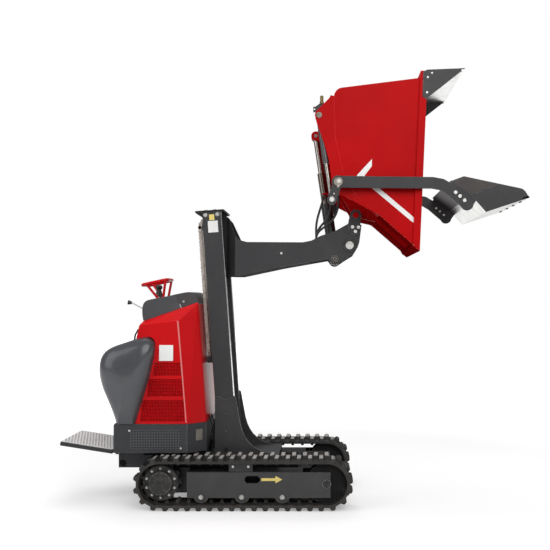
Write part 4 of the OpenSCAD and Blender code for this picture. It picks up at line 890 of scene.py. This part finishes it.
PULLEY_U, PULLEY_W, CHAIN_BEND = -46.0, 1560.0, 56.6
REAR_RUN, FRONT_RUN = PULLEY_U - CHAIN_BEND, PULLEY_U + CHAIN_BEND
REAR_LOW, FRONT_LOW = 722, 1313
ANCHOR_U = -98.6
rear_chain = chain("rear_chain_links", [(REAR_RUN, REAR_LOW + i * CHAIN_PITCH) for i in range(34)])
over = [(PULLEY_U - CHAIN_BEND * math.cos(a), PULLEY_W + CHAIN_BEND * math.sin(a))
        for a in (math.pi * i / 7 for i in range(8))]
down = [(FRONT_RUN, PULLEY_W - i * CHAIN_PITCH) for i in range(1, 11)]
front_chain = chain("front_chain_links", over + down)
anchors = []
for row in CHAIN_ROWS:
    profile = [(0, 0), (0, 8), (74, 8), (76, 6), (76, 0)]
    anchors.append(turned("anchor_rod", profile, mast_place(ANCHOR_U, 640, row), MAST_UP, 20))
    x, z = on_mast(ANCHOR_U, 712)
    yoke = block("anchor_yoke", (x - 8, row - 13, z - 16), (x + 8, row + 13, z + 10))
    anchors.append(bevelled(yoke, 2))
fitted(joined("chain_anchors", anchors), CHAIN_STEEL, "root", "chain_steel", "lift_chain_rear")
mast_place(REAR_RUN, REAR_LOW)
mast_place(REAR_RUN, PULLEY_W)
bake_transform(rear_chain)
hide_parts("lift_chain_front")
mast_place(FRONT_RUN, PULLEY_W)
mast_place(FRONT_RUN, FRONT_LOW)
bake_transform(front_chain)
for number, y in enumerate((-60, -150), 1):
    for word, x, lean in (("rear", -262, 16), ("front", -213, -16)):
        route = [(x, y, 572), (x + lean, y, 524), (-238 + lean / 4, y - lean / 2, 474),
                 (-237, y + lean / 3, 424), (-238 - lean / 3, y, 350)]
        feed = pipe("mast_feed_%s_%d" % (word, number), smooth([place(*p) for p in route]), 5.5)
        fitted(feed, BLACK_PLASTIC, "root", "black_plastic")

# Boom

# Painted shade: the boom's faces within 150 of the middle, its underside among them, in the darker matt grey.
boom = tinted(refined("boom", 2.5, *DARK), MATT_PAINTED_SHADE, lambda x, y, z: abs(y) < 150)
# Painted light: the boom's faces between 150 and 176 from the middle, its flare beside the mast, in a lighter
# warm grey.
tinted(boom, WARM_GREY, lambda x, y, z: 150 < abs(y) < 176)
refined("nose_brackets", 2, *DARK)
CROSS_PIN, TIP_FOOT = (696.433, 1733.77), (596.433, 1641.77)
fittings = refined("boom_fittings", 1.2, ZINC)
tinted(fittings, DARK_PAINT, near(TIP_FOOT, 60))
tinted(fittings, CAST, near(CROSS_PIN, 60, 200.2))
for part, inner, outer, steps in (("ring", 9, 13, 28), ("rim", 22, 24, 32)):
    profile = [(0, inner), (0, outer), (1.2, outer), (1.2, inner)]
    side_rounds("foot_pin_" + part, profile, (TIP_FOOT[0], 199, TIP_FOOT[1]), steps, DULL_STEEL, "boom",
                "bright_steel")

# Skip

PIVOT = (737.433, 1937.77)
SHOVEL = (614.433, 2125.77)
SKIP_Y = 430


def beside(origin, points):
    """Points measured from an origin."""
    return [(origin[0] + x, origin[1] + z) for x, z in points]


# Painted shade: the skip's faces below the pivot and inside its side plates in a darker, matt red.
for node in ("skip_tub", "skip_frame"):
    tinted(refined(node, 2, SKIP_RED, SKIP_EDGE), SKIP_SHADE,
           lambda x, y, z: z < PIVOT[1] - 40 and abs(y) < 423)
refined("deflector_cheeks", 1.5, *DARK)
refined("deflector_sheet", 1, DEFLECTOR_STEEL)
refined("skip_pins", 1, DULL_STEEL)
refined("tip_barrel", 1.5, *BLACK)
refined("tip_stage", 1, DARK_ROD)
refined("tip_rod", 1, SHADED_ROD_STEEL, BLACK_EDGE)
FOLD_LINE = beside(PIVOT, [*beside((-93, 754), arc(55, (160, 180))), (-148, 710), (-138, 471), (-87, 253),
                           (-50, 172), (-4, 105), (60, 48), (147, -16)])
STRIPE = [(736, 2174), (834, 2280), (834, 2235), (786, 2173), (1137, 1876), (1137, 1838)]
DEFLECTOR_BOLTS = [(1195, 2807), (1222, 2834), (1420, 2851), (1190, 2708)]
BRACKET = [(452, 2588), (470, 2588), (522, 2640), (514, 2650), (496, 2646), (466, 2624), (452, 2624)]
FITTING = [(0, 0), (0, 14), (14, 14), (16, 11), (50, 11), (54, 8), (54, 0)]
KEEPER = beside(SHOVEL, beside((3, 4), arc(18, range(-20, 200, 20))) + [(-9, -38), (-2, -42), (5, -38)])
PIN_HEAD = [(0, 0), (0, 13), (2, 13), (2, 9), (0.6, 9), (0.6, 7), (2.4, 7), (2.4, 0)]
side_beads("skip_weld", [(x, SKIP_Y + 0.4, z) for x, z in FOLD_LINE], 2.4, RED_EDGE, "skip", "red_paint")
side_plates("skip_stripe", STRIPE, SKIP_Y + 0.15, SKIP_Y + 0.6, WHITE_FILM, "skip", "red_paint")
side_bolts("deflector_bolts", "skip", [(x, 457, z) for x, z in DEFLECTOR_BOLTS], 5, 4)
side_plates("skip_bracket", BRACKET, 412, 423.6, DARK, "skip", "dark_grey_paint", edge=1.5)
side_rounds("skip_fitting", FITTING, (508, 418, 2642), 24, BRASS, "skip", "bright_steel", (0, 0, 1), edge=1)
side_bolts("skip_bracket_bolts", "skip", [(461, 423.6, 2606)], 6, 3, washer=False)
side_plates("arm_keeper", KEEPER, 490.2, 496, DULL_STEEL, "shovel", "bright_steel", edge=1.2)
side_rounds("arm_pin_head", PIN_HEAD, (SHOVEL[0] + 3, 496, SHOVEL[1] + 4), 28, ZINC, "shovel", "bright_steel")
ARM_BOLTS = [(SHOVEL[0] + 2, 496, SHOVEL[1] - 28), (588, 490, 2048)]
side_bolts("arm_small_bolts", "shovel", ARM_BOLTS, 5, 3, washer=False)

# Shovel

refined("shovel_arms", 2, *DARK)
tinted(refined("shovel_fasteners", 1, ZINC), DARK_EDGE, lambda x, y, z: x < 700 and abs(y) < 495.6)
refined("shovel_barrels", 1.2, BARREL_PAINT, BLACK_EDGE)
refined("shovel_rods", 0.8, SHADED_ROD_STEEL)
# Corners of the bucket's side, measured from the shovel's pivot
REAR, CROWN, HEEL, BACK, LIP = (726, 6), (813, 38), (957, -193), (860, -85), (1236.2, -100.9)
CREASE = (1045, -11.3)
CHEEK = [CREASE, (LIP[0] - 47, LIP[1] + 59), (LIP[0] - 26, LIP[1] + 42), LIP, HEEL, BACK]
CHEEK_TOP = [REAR, CROWN, CREASE, BACK]
BUCKET_LUG = [(736, 0), (862, -81), (892, -121), (872, -150), (827, -174), (707, -62)]
BUCKET_IN, BUCKET_OUT = 462, 470
FLOOR_TILT = math.atan2(0.3132, 0.9497)
SHEET_T = 8
TEETH, TOOTH_T, TOOTH_BACK = 9, 14, -42
STEP = 2 * BUCKET_OUT / TEETH


def offset_path(path, distance):
    """A path of (x, z) shifted to its left by a distance, with mitred corners."""
    path = [Vector(p) for p in path]
    shifted = []
    for i, point in enumerate(path):
        sides = []
        for a, b in ((i - 1, i), (i, i + 1)):
            if 0 <= a and b < len(path):
                along = (path[b] - path[a]).normalized()
                sides.append(Vector((-along.y, along.x)))
        middle = sum(sides, Vector((0, 0))).normalized()
        shifted.append(point + middle * distance / max(0.3, middle.dot(sides[0])))
    return [tuple(p) for p in shifted]


cheeks, tops = [], []
for side in (RIGHT, LEFT):
    inner, outer = side * BUCKET_IN, side * BUCKET_OUT
    cheeks.append(plate("bucket_cheek", beside(SHOVEL, CHEEK), inner, outer))
    tops.append(plate("bucket_cheek_top", beside(SHOVEL, CHEEK_TOP), inner, outer))
    cheeks.append(plate("bucket_lug", beside(SHOVEL, BUCKET_LUG), inner + side * 0.2, outer - side * 0.2))
    crease = [place(x, outer + side * 0.3, z) for x, z in beside(SHOVEL, (CREASE, BACK))]
    cheeks.append(pipe("bucket_crease", crease, 1.6, False, 1))
fitted(joined("bucket_cheeks", cheeks), DARK, "shovel", "dark_grey_paint", "shovel_bucket", edge=1.5)
fitted(joined("bucket_cheek_tops", tops), WARM_GREY, "shovel", "dark_grey_paint", edge=1.2)
bend = [LIP, HEEL, BACK, REAR]
bend = [*offset_path(bend, 0.0), *reversed(offset_path(bend, -SHEET_T))]
sheet = plate("bucket_sheet", beside(SHOVEL, bend), -BUCKET_IN, BUCKET_IN)
fitted(sheet, SHEET_STEEL, "shovel", "bright_steel", edge=1.2)
tinted(sheet, DARK_PAINT, lambda x, y, z: x < SHOVEL[0] + BACK[0] + 4)
TOOTH = [(TOOTH_BACK, -STEP / 2), (0, -STEP / 2), (10, -STEP / 5), (10, STEP / 5), (0, STEP / 2),
         (TOOTH_BACK, STEP / 2)]
tooth_rows = [-BUCKET_OUT + (i + 0.5) * STEP for i in range(TEETH)]
teeth = []
for row in tooth_rows:
    tooth = drawn([(x / 1000, (y + row) / 1000, 0) for x, y in TOOTH])
    edit_all(extruded((0, 0, TOOTH_T / 1000)), outwards)
    tooth.matrix_world = (Matrix.Translation(place(SHOVEL[0] + LIP[0], 0, SHOVEL[1] + LIP[1]))
                          @ Matrix.Rotation(-FLOOR_TILT, 4, "Y"))
    teeth.append(settle("tooth"))
fitted(joined("bucket_edge", teeth), SOILED_STEEL, "shovel", "bright_steel", edge=1.5)
under = (math.sin(FLOOR_TILT), 0, -math.cos(FLOOR_TILT))
studs = [(SHOVEL[0] + LIP[0] - 24, row, SHOVEL[1] + LIP[1] - 8.5) for row in tooth_rows[1::2]]
bolts("bucket_edge_bolts", "shovel", studs, under, 11, 7, BLACK_PAINT, "black_paint", False)

# Console

SKIRT_Z, SKIRT_REAR, SKIRT_HALF, SKIRT_ROLL = 548, -864, 380, 14


def rolled_corners(piece):
    """Rolls the skirt's two upright rear corners over."""
    bpy.ops.object.mode_set(mode="EDIT")
    bpy.ops.mesh.select_mode(type="EDGE")
    bpy.ops.mesh.select_all(action="DESELECT")
    bpy.ops.object.mode_set(mode="OBJECT")
    corner = place(SKIRT_REAR, SKIRT_HALF, 0)
    for edge in piece.data.edges:
        ends = [piece.data.vertices[i].co for i in edge.vertices]
        edge.select = all(abs(end.x - corner.x) < 0.001 and abs(abs(end.y) - corner.y) < 0.001
                          for end in ends)
    bpy.ops.object.mode_set(mode="EDIT")
    bpy.ops.mesh.bevel(offset=SKIRT_ROLL / 1000, segments=4)
    bpy.ops.mesh.select_mode(type="VERT")
    bpy.ops.object.mode_set(mode="OBJECT")


refined("console_base", 4, *SKIRTING, shaped=rolled_corners)
for node, edge, finish in (("bonnet", 0, RED_PAINT), ("engine", 2, CAST), ("muffler", 2, CHAIN_STEEL),
                           ("hydraulic_pump", 2, CAST), ("battery", 2, BLACK_PLASTIC),
                           ("travel_lever_right", 0, BLACK_PLASTIC), ("travel_lever_left", 0, BLACK_PLASTIC)):
    refined(node, edge, finish)
tinted(refined("throttle_lever", 0, BLACK_PLASTIC), ZINC, lambda x, y, z: x > -795 and z > 1303)
refined("platform_frame", 2, *DARK)

DASH = [(-686, 1222), (-693, 1262), (-694, 1306), (-686, 1340), (-662, 1361), (-600, 1375), (-525, 1390),
        (-450, 1407), (-408, 1415), (-378, 1415), (-354, 1403), (-337, 1380), (-326, 1350), (-330, 1330),
        (-424, 1290), (-560, 1254)]
DASH_HALF, LEVER_Y = 288, 38
DASH_SEAM, SEAM_RAKE = (-454, 0, 1345), 0.433
seam_plane = (place(*DASH_SEAM), (1, 0, SEAM_RAKE))


def dash_moulding(name):
    """The dash: a side outline extruded across, rolled over at the ends, drawn in to the front, slots cut."""
    piece = coated(plate(name, [tuple(p) for p in smooth(DASH, 3)], -DASH_HALF, DASH_HALF), DASH_MOULDING)
    bevelled(piece, 26, 5, 60)
    for vertex in piece.data.vertices:
        x, z = vertex.co.x * 1000 + X_MID, vertex.co.z * 1000
        # A fifth narrower from rear to front, and a twentieth from bottom to top
        vertex.co.y *= 1 - 0.2 * (x + 690) / 365 - 0.05 * (z - 1230) / 180
    for side in (RIGHT, LEFT):
        slot = block("lever_slot", (-667, side * LEVER_Y - 9, 1300), (-607, side * LEVER_Y + 9, 1440))
        only(piece)
        applied(piece, "slot", "BOOLEAN", operation="DIFFERENCE", object=slot)
        bpy.data.objects.remove(slot)
    ears = [block("throttle_ear", (-714, y, 1282), (-674, y + 8, 1302)) for y in (-137, -111)]
    joined(name, [piece, *(coated(ear, DASH_MOULDING) for ear in ears)])
    only(piece)
    edit_all(bisected(*seam_plane))
    return evened(piece, 40)


def seam(source, name, plane, radius):
    """A groove line where a plane crosses a piece: the cut loop of a copy, made into a thin tube."""
    only(duplicate(source, name))
    edit_all(bisected(*plane, clear_inner=True, clear_outer=True))
    bpy.ops.object.convert(target="CURVE")
    piece = bpy.context.object
    piece.data.bevel_depth = radius / 1000
    piece.data.bevel_resolution = 1
    bpy.ops.object.convert(target="MESH")
    return settle(name)


dash = dash_moulding("dash_moulding")
fitted(seam(dash, "dash_seam", seam_plane, 2.0), BLACK_PLASTIC, "root", "black_plastic")
DASH_JOINT = [(-450.1, 242.6, 1336), (-432.8, 243.0, 1296)]
side_beads("dash_joint", DASH_JOINT, 1.7, WHITE_FILM, "root", "grey_moulding")
tinted(dash, DASH_FRONT, lambda x, y, z: x - DASH_SEAM[0] + SEAM_RAKE * (z - DASH_SEAM[2]) > 0)
riding(dash, "root", "grey_moulding", "dash_cover")
bolts("dash_bolts", "root", [(-424, -240, 1352), (-424, 240, 1352)], (0, -1, 0.1), 5, 4)

TANK = [(-838, 500), (-850, 551), (-879, 636), (-912, 716), (-936, 774), (-954, 836), (-961, 891),
        (-957, 950), (-936, 1003), (-885, 1047), (-787, 1083), (-712, 1107), (-653, 1117), (-615, 1098),
        (-597, 1064), (-604, 983), (-630, 846), (-668, 708), (-713, 551), (-726, 500)]
TANK_MIDDLE, TANK_IN, TANK_OUT, TANK_CROWN = (-766, 0, 830), 192, 430, 84.0
# How the crown rolls in: the share drawn in, and the share of its depth
TANK_ROLL = [(0, 0), (0.05, 0.3), (0.12, 0.5), (0.22, 0.68), (0.34, 0.81), (0.48, 0.9), (0.64, 0.96),
             (0.8, 0.99), (0.92, 1)]
CAP = [(0, 0), (0, 34), (14, 34), (17, 31), (17, 0)]


def moulded_tank(name, side):
    """A side tank: its outline extruded and drawn in step by step to a crown, and cut flat at the skirt."""
    def crowned():
        extruded((0, side * (TANK_OUT - TANK_CROWN - TANK_IN) / 1000, 0))()
        for (a, low), (b, high) in zip(TANK_ROLL, TANK_ROLL[1:]):
            extruded((0, side * TANK_CROWN * (high - low) / 1000, 0))()
            draw = (1 - b) / (1 - a)
            bpy.ops.transform.resize(value=(draw, 1, draw), center_override=place(*TANK_MIDDLE))
    drawn([place(p.x * 1.012 + 10, side * TANK_IN, p.y) for p in smooth(TANK, 3)])
    flat = bisected(place(0, 0, SKIRT_Z + 2), (0, 0, 1), use_fill=True, clear_inner=True)
    edit_all(crowned, flat, outwards)
    return evened(coated(settle(name), TANK_MOULDING), 40)


BONNET_PLATE = [(-566, 357.3, 961), (-474, 357.3, 961), (-474, 350.7, 1065), (-566, 350.7, 1065)]
PATCH = [(-326.6, 335, 432), (-288.6, 301.7, 432), (-288.6, 301.7, 506), (-326.6, 335, 506)]
FOLD = [(-447, 332, 1222), (-416, 352, 900), (-384, 373, 556)]
BONNET_CREASE = [(-700, 331, 1190), (-447, 331, 1224)]
VENT_PIPE = [(-700, 262, 1184), (-728, 258, 1160), (-746, 256, 1128), (-752, 256, 1090)]
side_sheets("bonnet_white_plate", BONNET_PLATE, 0.8, WHITE_FILM, "root", "red_paint")
# Pale red beads along the bonnet's fold and crease: a painted highlight on the rounded edges.
side_beads("bonnet_fold_highlight", FOLD, 6.5, RED_PAINTED_HIGHLIGHT, "root", "red_paint")
side_beads("bonnet_crease_highlight", BONNET_CREASE, 3, RED_PAINTED_HIGHLIGHT, "root", "red_paint")
for side, word in SIDES:
    vent = block("skirt_vent_" + word, (-752, side * 380.4, 384), (-417, side * 381.2, 509))
    fitted(vent, VENT_MESH, "root", "skirt_paint")
side_bolts("skirt_bolts", "root", [(-757, SKIRT_HALF, 504), (-419, SKIRT_HALF, 388)], 5, 4)
side_sheets("skirt_patch", PATCH, 1.2, PATCH_GREY, "root", "skirt_paint")
side_beads("tank_vent_pipe", VENT_PIPE, 6, BLACK_PLASTIC, "root", "black_plastic")
riding(moulded_tank("fuel_tank_moulding", RIGHT), "root", "grey_moulding", "fuel_tank")
riding(moulded_tank("oil_tank_moulding", LEFT), "root", "grey_moulding", "oil_tank")
side_rounds("tank_cap", CAP, (-899.5, 310, 1016.5), 32, BLACK_PLASTIC, "root", "black_plastic",
            (-0.5, 0, 0.86), edge=1.2)

# Each grille's rear and front edge, top and bottom
GRILLES = [(-600, -422, 948, 862), (-634, -415, 840, 726), (-676, -402, 702, 562)]
GRILLE_CELL, GRILLE_WIRE, GRILLE_SUNK, GRILLE_DEEP = 9.4, 5.6, 3, 34


def wire_panel(name, corners, columns, rows, wire):
    """A woven-wire panel: a grid pulled to four corners and turned into wire."""
    start()
    bpy.ops.mesh.primitive_grid_add(x_subdivisions=columns, y_subdivisions=rows, size=2)
    piece = bpy.context.object
    a, b, c, d = [place(*p) for p in corners]
    for vertex in piece.data.vertices:
        u, v = (vertex.co.x + 1) / 2, (vertex.co.y + 1) / 2
        vertex.co = a * (1 - u) * (1 - v) + b * u * (1 - v) + c * u * v + d * (1 - u) * v
    applied(piece, "wire", "WIREFRAME", thickness=wire / 1000, use_even_offset=False)
    return settle(name)


def flank_y(z):
    """Half width of the bonnet's side at a height."""
    return 376 - (z - SKIRT_Z) * 41 / 642


for side, word in SIDES:
    for number, (x0, x1, top, low) in enumerate(GRILLES, 1):
        taper = 0.09 * (top - low)
        y_top, y_low = side * (flank_y(top) - GRILLE_SUNK), side * (flank_y(low) - GRILLE_SUNK)
        corners = [(x0 - taper, y_low, low), (x1 + taper / 2, y_low, low), (x1, y_top, top), (x0, y_top, top)]
        panel = wire_panel("grille_%s_%d" % (word, number), corners, round((x1 - x0) / GRILLE_CELL),
                           round((top - low) / GRILLE_CELL), GRILLE_WIRE)
        fitted(panel, GRILLE_RED, "root", "red_paint")
        # A dark red plate behind each grille: painted shade for the bonnet's hollow inside.
        deep = flank_y(low) - GRILLE_DEEP
        back = plate("grille_back_%s_%d" % (word, number), [(x, z) for x, _, z in corners],
                     side * deep, side * (deep - 2))
        fitted(back, GRILLE_PAINTED_SHADE, "root", "black_plastic")
        if side == RIGHT and number == 1:
            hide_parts("bonnet_grilles")

GUARD, GUARD_HALF, GUARD_BEND = (-732.0, -562.0), 118, 36
GUARD_LEGS = ((-702, -622), (-570, -591))
GAITER = [(0, 6.5), (0, 17), (8, 18), (14, 15), (20, 16.5), (27, 13), (33, 14), (40, 10), (52, 8), (52, 6.5)]


def guard_height(x):
    """Height of the guard ring, which rises towards the front."""
    return 1465 + 0.22 * (x - GUARD[0])


def rounded_loop(x0, x1, half, radius, height):
    """Points round a rectangle with rounded corners, seen from above; height gives z from x."""
    points = []
    for cx, cy, first in ((x1 - radius, half - radius, 0), (x0 + radius, half - radius, 90),
                          (x0 + radius, radius - half, 180), (x1 - radius, radius - half, 270)):
        corner = beside((cx, cy), arc(radius, range(first, first + 91, 15)))
        points += [place(x, y, height(x)) for x, y in corner]
    return points


tubes = [pipe("guard_ring", rounded_loop(*GUARD, GUARD_HALF, GUARD_BEND, guard_height), 12, True)]
for side in (RIGHT, LEFT):
    for top, foot in GUARD_LEGS:
        leg = [place(top, side * (GUARD_HALF - 5), guard_height(top)), place(foot, side * 93, 1368)]
        tubes.append(pipe("guard_leg", leg, 9))
fitted(joined("hand_guard_tubes", tubes), RED_PAINT, "root", "red_paint", "hand_guard")
for side, word in SIDES:
    gaiter = turned("lever_gaiter_" + word, GAITER, place(-637, side * LEVER_Y, 1384), (0, 0, 1), 28)
    riding(evened(coated(gaiter, BLACK_PLASTIC), 50), "travel_lever_" + word, "black_plastic")

# Platform

HINGE, TILT = (-880.0, 335.0), math.radians(9)
TREAD_ALONG, TREAD_HALF, TREAD_UP, TREAD_T = (30, 378), 236, 17, 2
TREAD_CELLS, TREAD_STRAND = (17, 6), 8.5
BACKING = ((34, 12), (374, 12), (374, 13), (34, 13))


def platform_side(along, up):
    """Machine x and z of a place on the platform, measured back from its hinge and up from its plane."""
    return (HINGE[0] - along * math.cos(TILT) + up * math.sin(TILT),
            HINGE[1] + along * math.sin(TILT) + up * math.cos(TILT))


def platform_place(along, y, up):
    """A place on the platform, in the frame's metres."""
    x, z = platform_side(along, up)
    return place(x, y, z)


def expanded_sheet(name, along, half, up, cells, strand, thickness):
    """Expanded metal: a grid turned to diamonds, trimmed, its cells inset and opened, then thickened."""
    def opened():
        bpy.ops.mesh.inset(thickness=strand / 2000, use_individual=True)
        bpy.ops.mesh.delete(type="FACE")
    start()
    count = sum(cells)
    bpy.ops.mesh.primitive_grid_add(x_subdivisions=count, y_subdivisions=count, size=count)
    middle, reach = (along[0] + along[1]) / 2, (along[1] - along[0]) / 2
    for vertex in bpy.context.object.data.vertices:
        u, v = vertex.co.x + vertex.co.y, vertex.co.x - vertex.co.y
        vertex.co = platform_place(middle - u * reach / cells[0], v * half / cells[1], up)
    front, rear = [platform_place(end, 0, up) for end in along]
    back = (rear - front).normalized()
    trims = [bisected(spot, outside, clear_outer=True) for spot, outside in (
        (front, -back), (rear, back), (place(0, -half, 0), (0, -1, 0)), (place(0, half, 0), (0, 1, 0)))]
    down = (-math.sin(TILT) * thickness / 1000, 0, -math.cos(TILT) * thickness / 1000)
    edit_all(*trims, weld, opened, extruded(down), outwards)
    return settle(name)


tread = expanded_sheet("platform_tread", TREAD_ALONG, TREAD_HALF, TREAD_UP, TREAD_CELLS, TREAD_STRAND,
                       TREAD_T)
fitted(tread, TREAD_STEEL, "platform", "bright_steel", "platform_grating")
# A grey plate just under the tread: painted shade seen through its holes.
backing = plate("platform_shade_backing", [platform_side(*corner) for corner in BACKING], -232, 232)
fitted(backing, TREAD_PAINTED_SHADE, "platform", "black_plastic")

# Studio

WHITE = (1, 1, 1, 1)
ROOM_LIGHT = 0.42


def lamp(name, location, target, size, power):
    """A soft box that looks at a target, in the frame's metres."""
    data = bpy.data.lights.new(name, "AREA")
    data.shape = "RECTANGLE"
    data.size, data.size_y = size
    data.energy = power
    piece = linked(bpy.data.objects.new(name, data))
    piece.location = location
    piece.rotation_euler = (Vector(target) - Vector(location)).to_track_quat("-Z", "Y").to_euler()
    return piece


def studio_world():
    """White to the camera, a darker room to mirrors, and a plain soft light to everything else."""
    world = bpy.data.worlds.new("white_studio")
    nodes = Nodes(world)
    room = nodes.tree.nodes["Background"]
    nodes.feed(room.inputs, {"Color": WHITE, "Strength": ROOM_LIGHT})
    light = Signal(nodes, room.outputs[0])
    for ray, strength in (("Is Glossy Ray", 0.3), ("Is Camera Ray", 1.0)):
        shown = nodes.node("Background", None, {"Color": WHITE, "Strength": strength})
        light = nodes.node("MixShader", None, {0: nodes.node("LightPath", out=ray), 1: light, 2: shown})
    nodes.show("World Output", light)
    bpy.context.scene.world = world


def studio_floor():
    """A pale floor that shines a little of its own to the camera, so that only the shadow shows on it."""
    f = Finish("studio_floor")
    tone = f.mix(f.band(f.noise(0.6), 0.3, 0.7), srgb(240, 240, 240), srgb(244, 244, 244))
    f.done({"Base Color": tone, "Roughness": 0.6})
    dim = f.node("BsdfDiffuse", None, {"Color": srgb(150, 150, 150)})
    away = f.node("VectorMath", {"operation": "LENGTH"}, {0: f.where}, "Value")
    glow = f.band(away, 2.2, 7.0) * 0.9 + 0.3
    own = f.node("Emission", None, {"Color": f.mix(glow, (0, 0, 0, 1), WHITE), "Strength": 1.0})
    lit = f.node("AddShader", None, {0: Signal(f, f.shader.outputs[0]), 1: own})
    seen = f.node("LightPath", out="Is Camera Ray") + f.node("LightPath", out="Is Glossy Ray")
    f.show("Material Output", f.node("MixShader", None, {0: seen, 1: dim, 2: lit}))
    start()
    bpy.ops.mesh.primitive_plane_add(size=60)
    return coated(settle("studio_floor"), f.material)


studio_world()
studio_floor()
lamp("key_soft_box", (1.5, -5.5, 4.6), (0.2, 0, 1.1), (4.5, 3.5), 190)
lamp("left_soft_box", (-4.5, -3.0, 3.2), (-0.5, 0, 1.0), (3.0, 4.0), 75)
lamp("top_soft_box", (0, 1.8, 6.5), (0, 0, 0.2), (6.0, 5.0), 150)
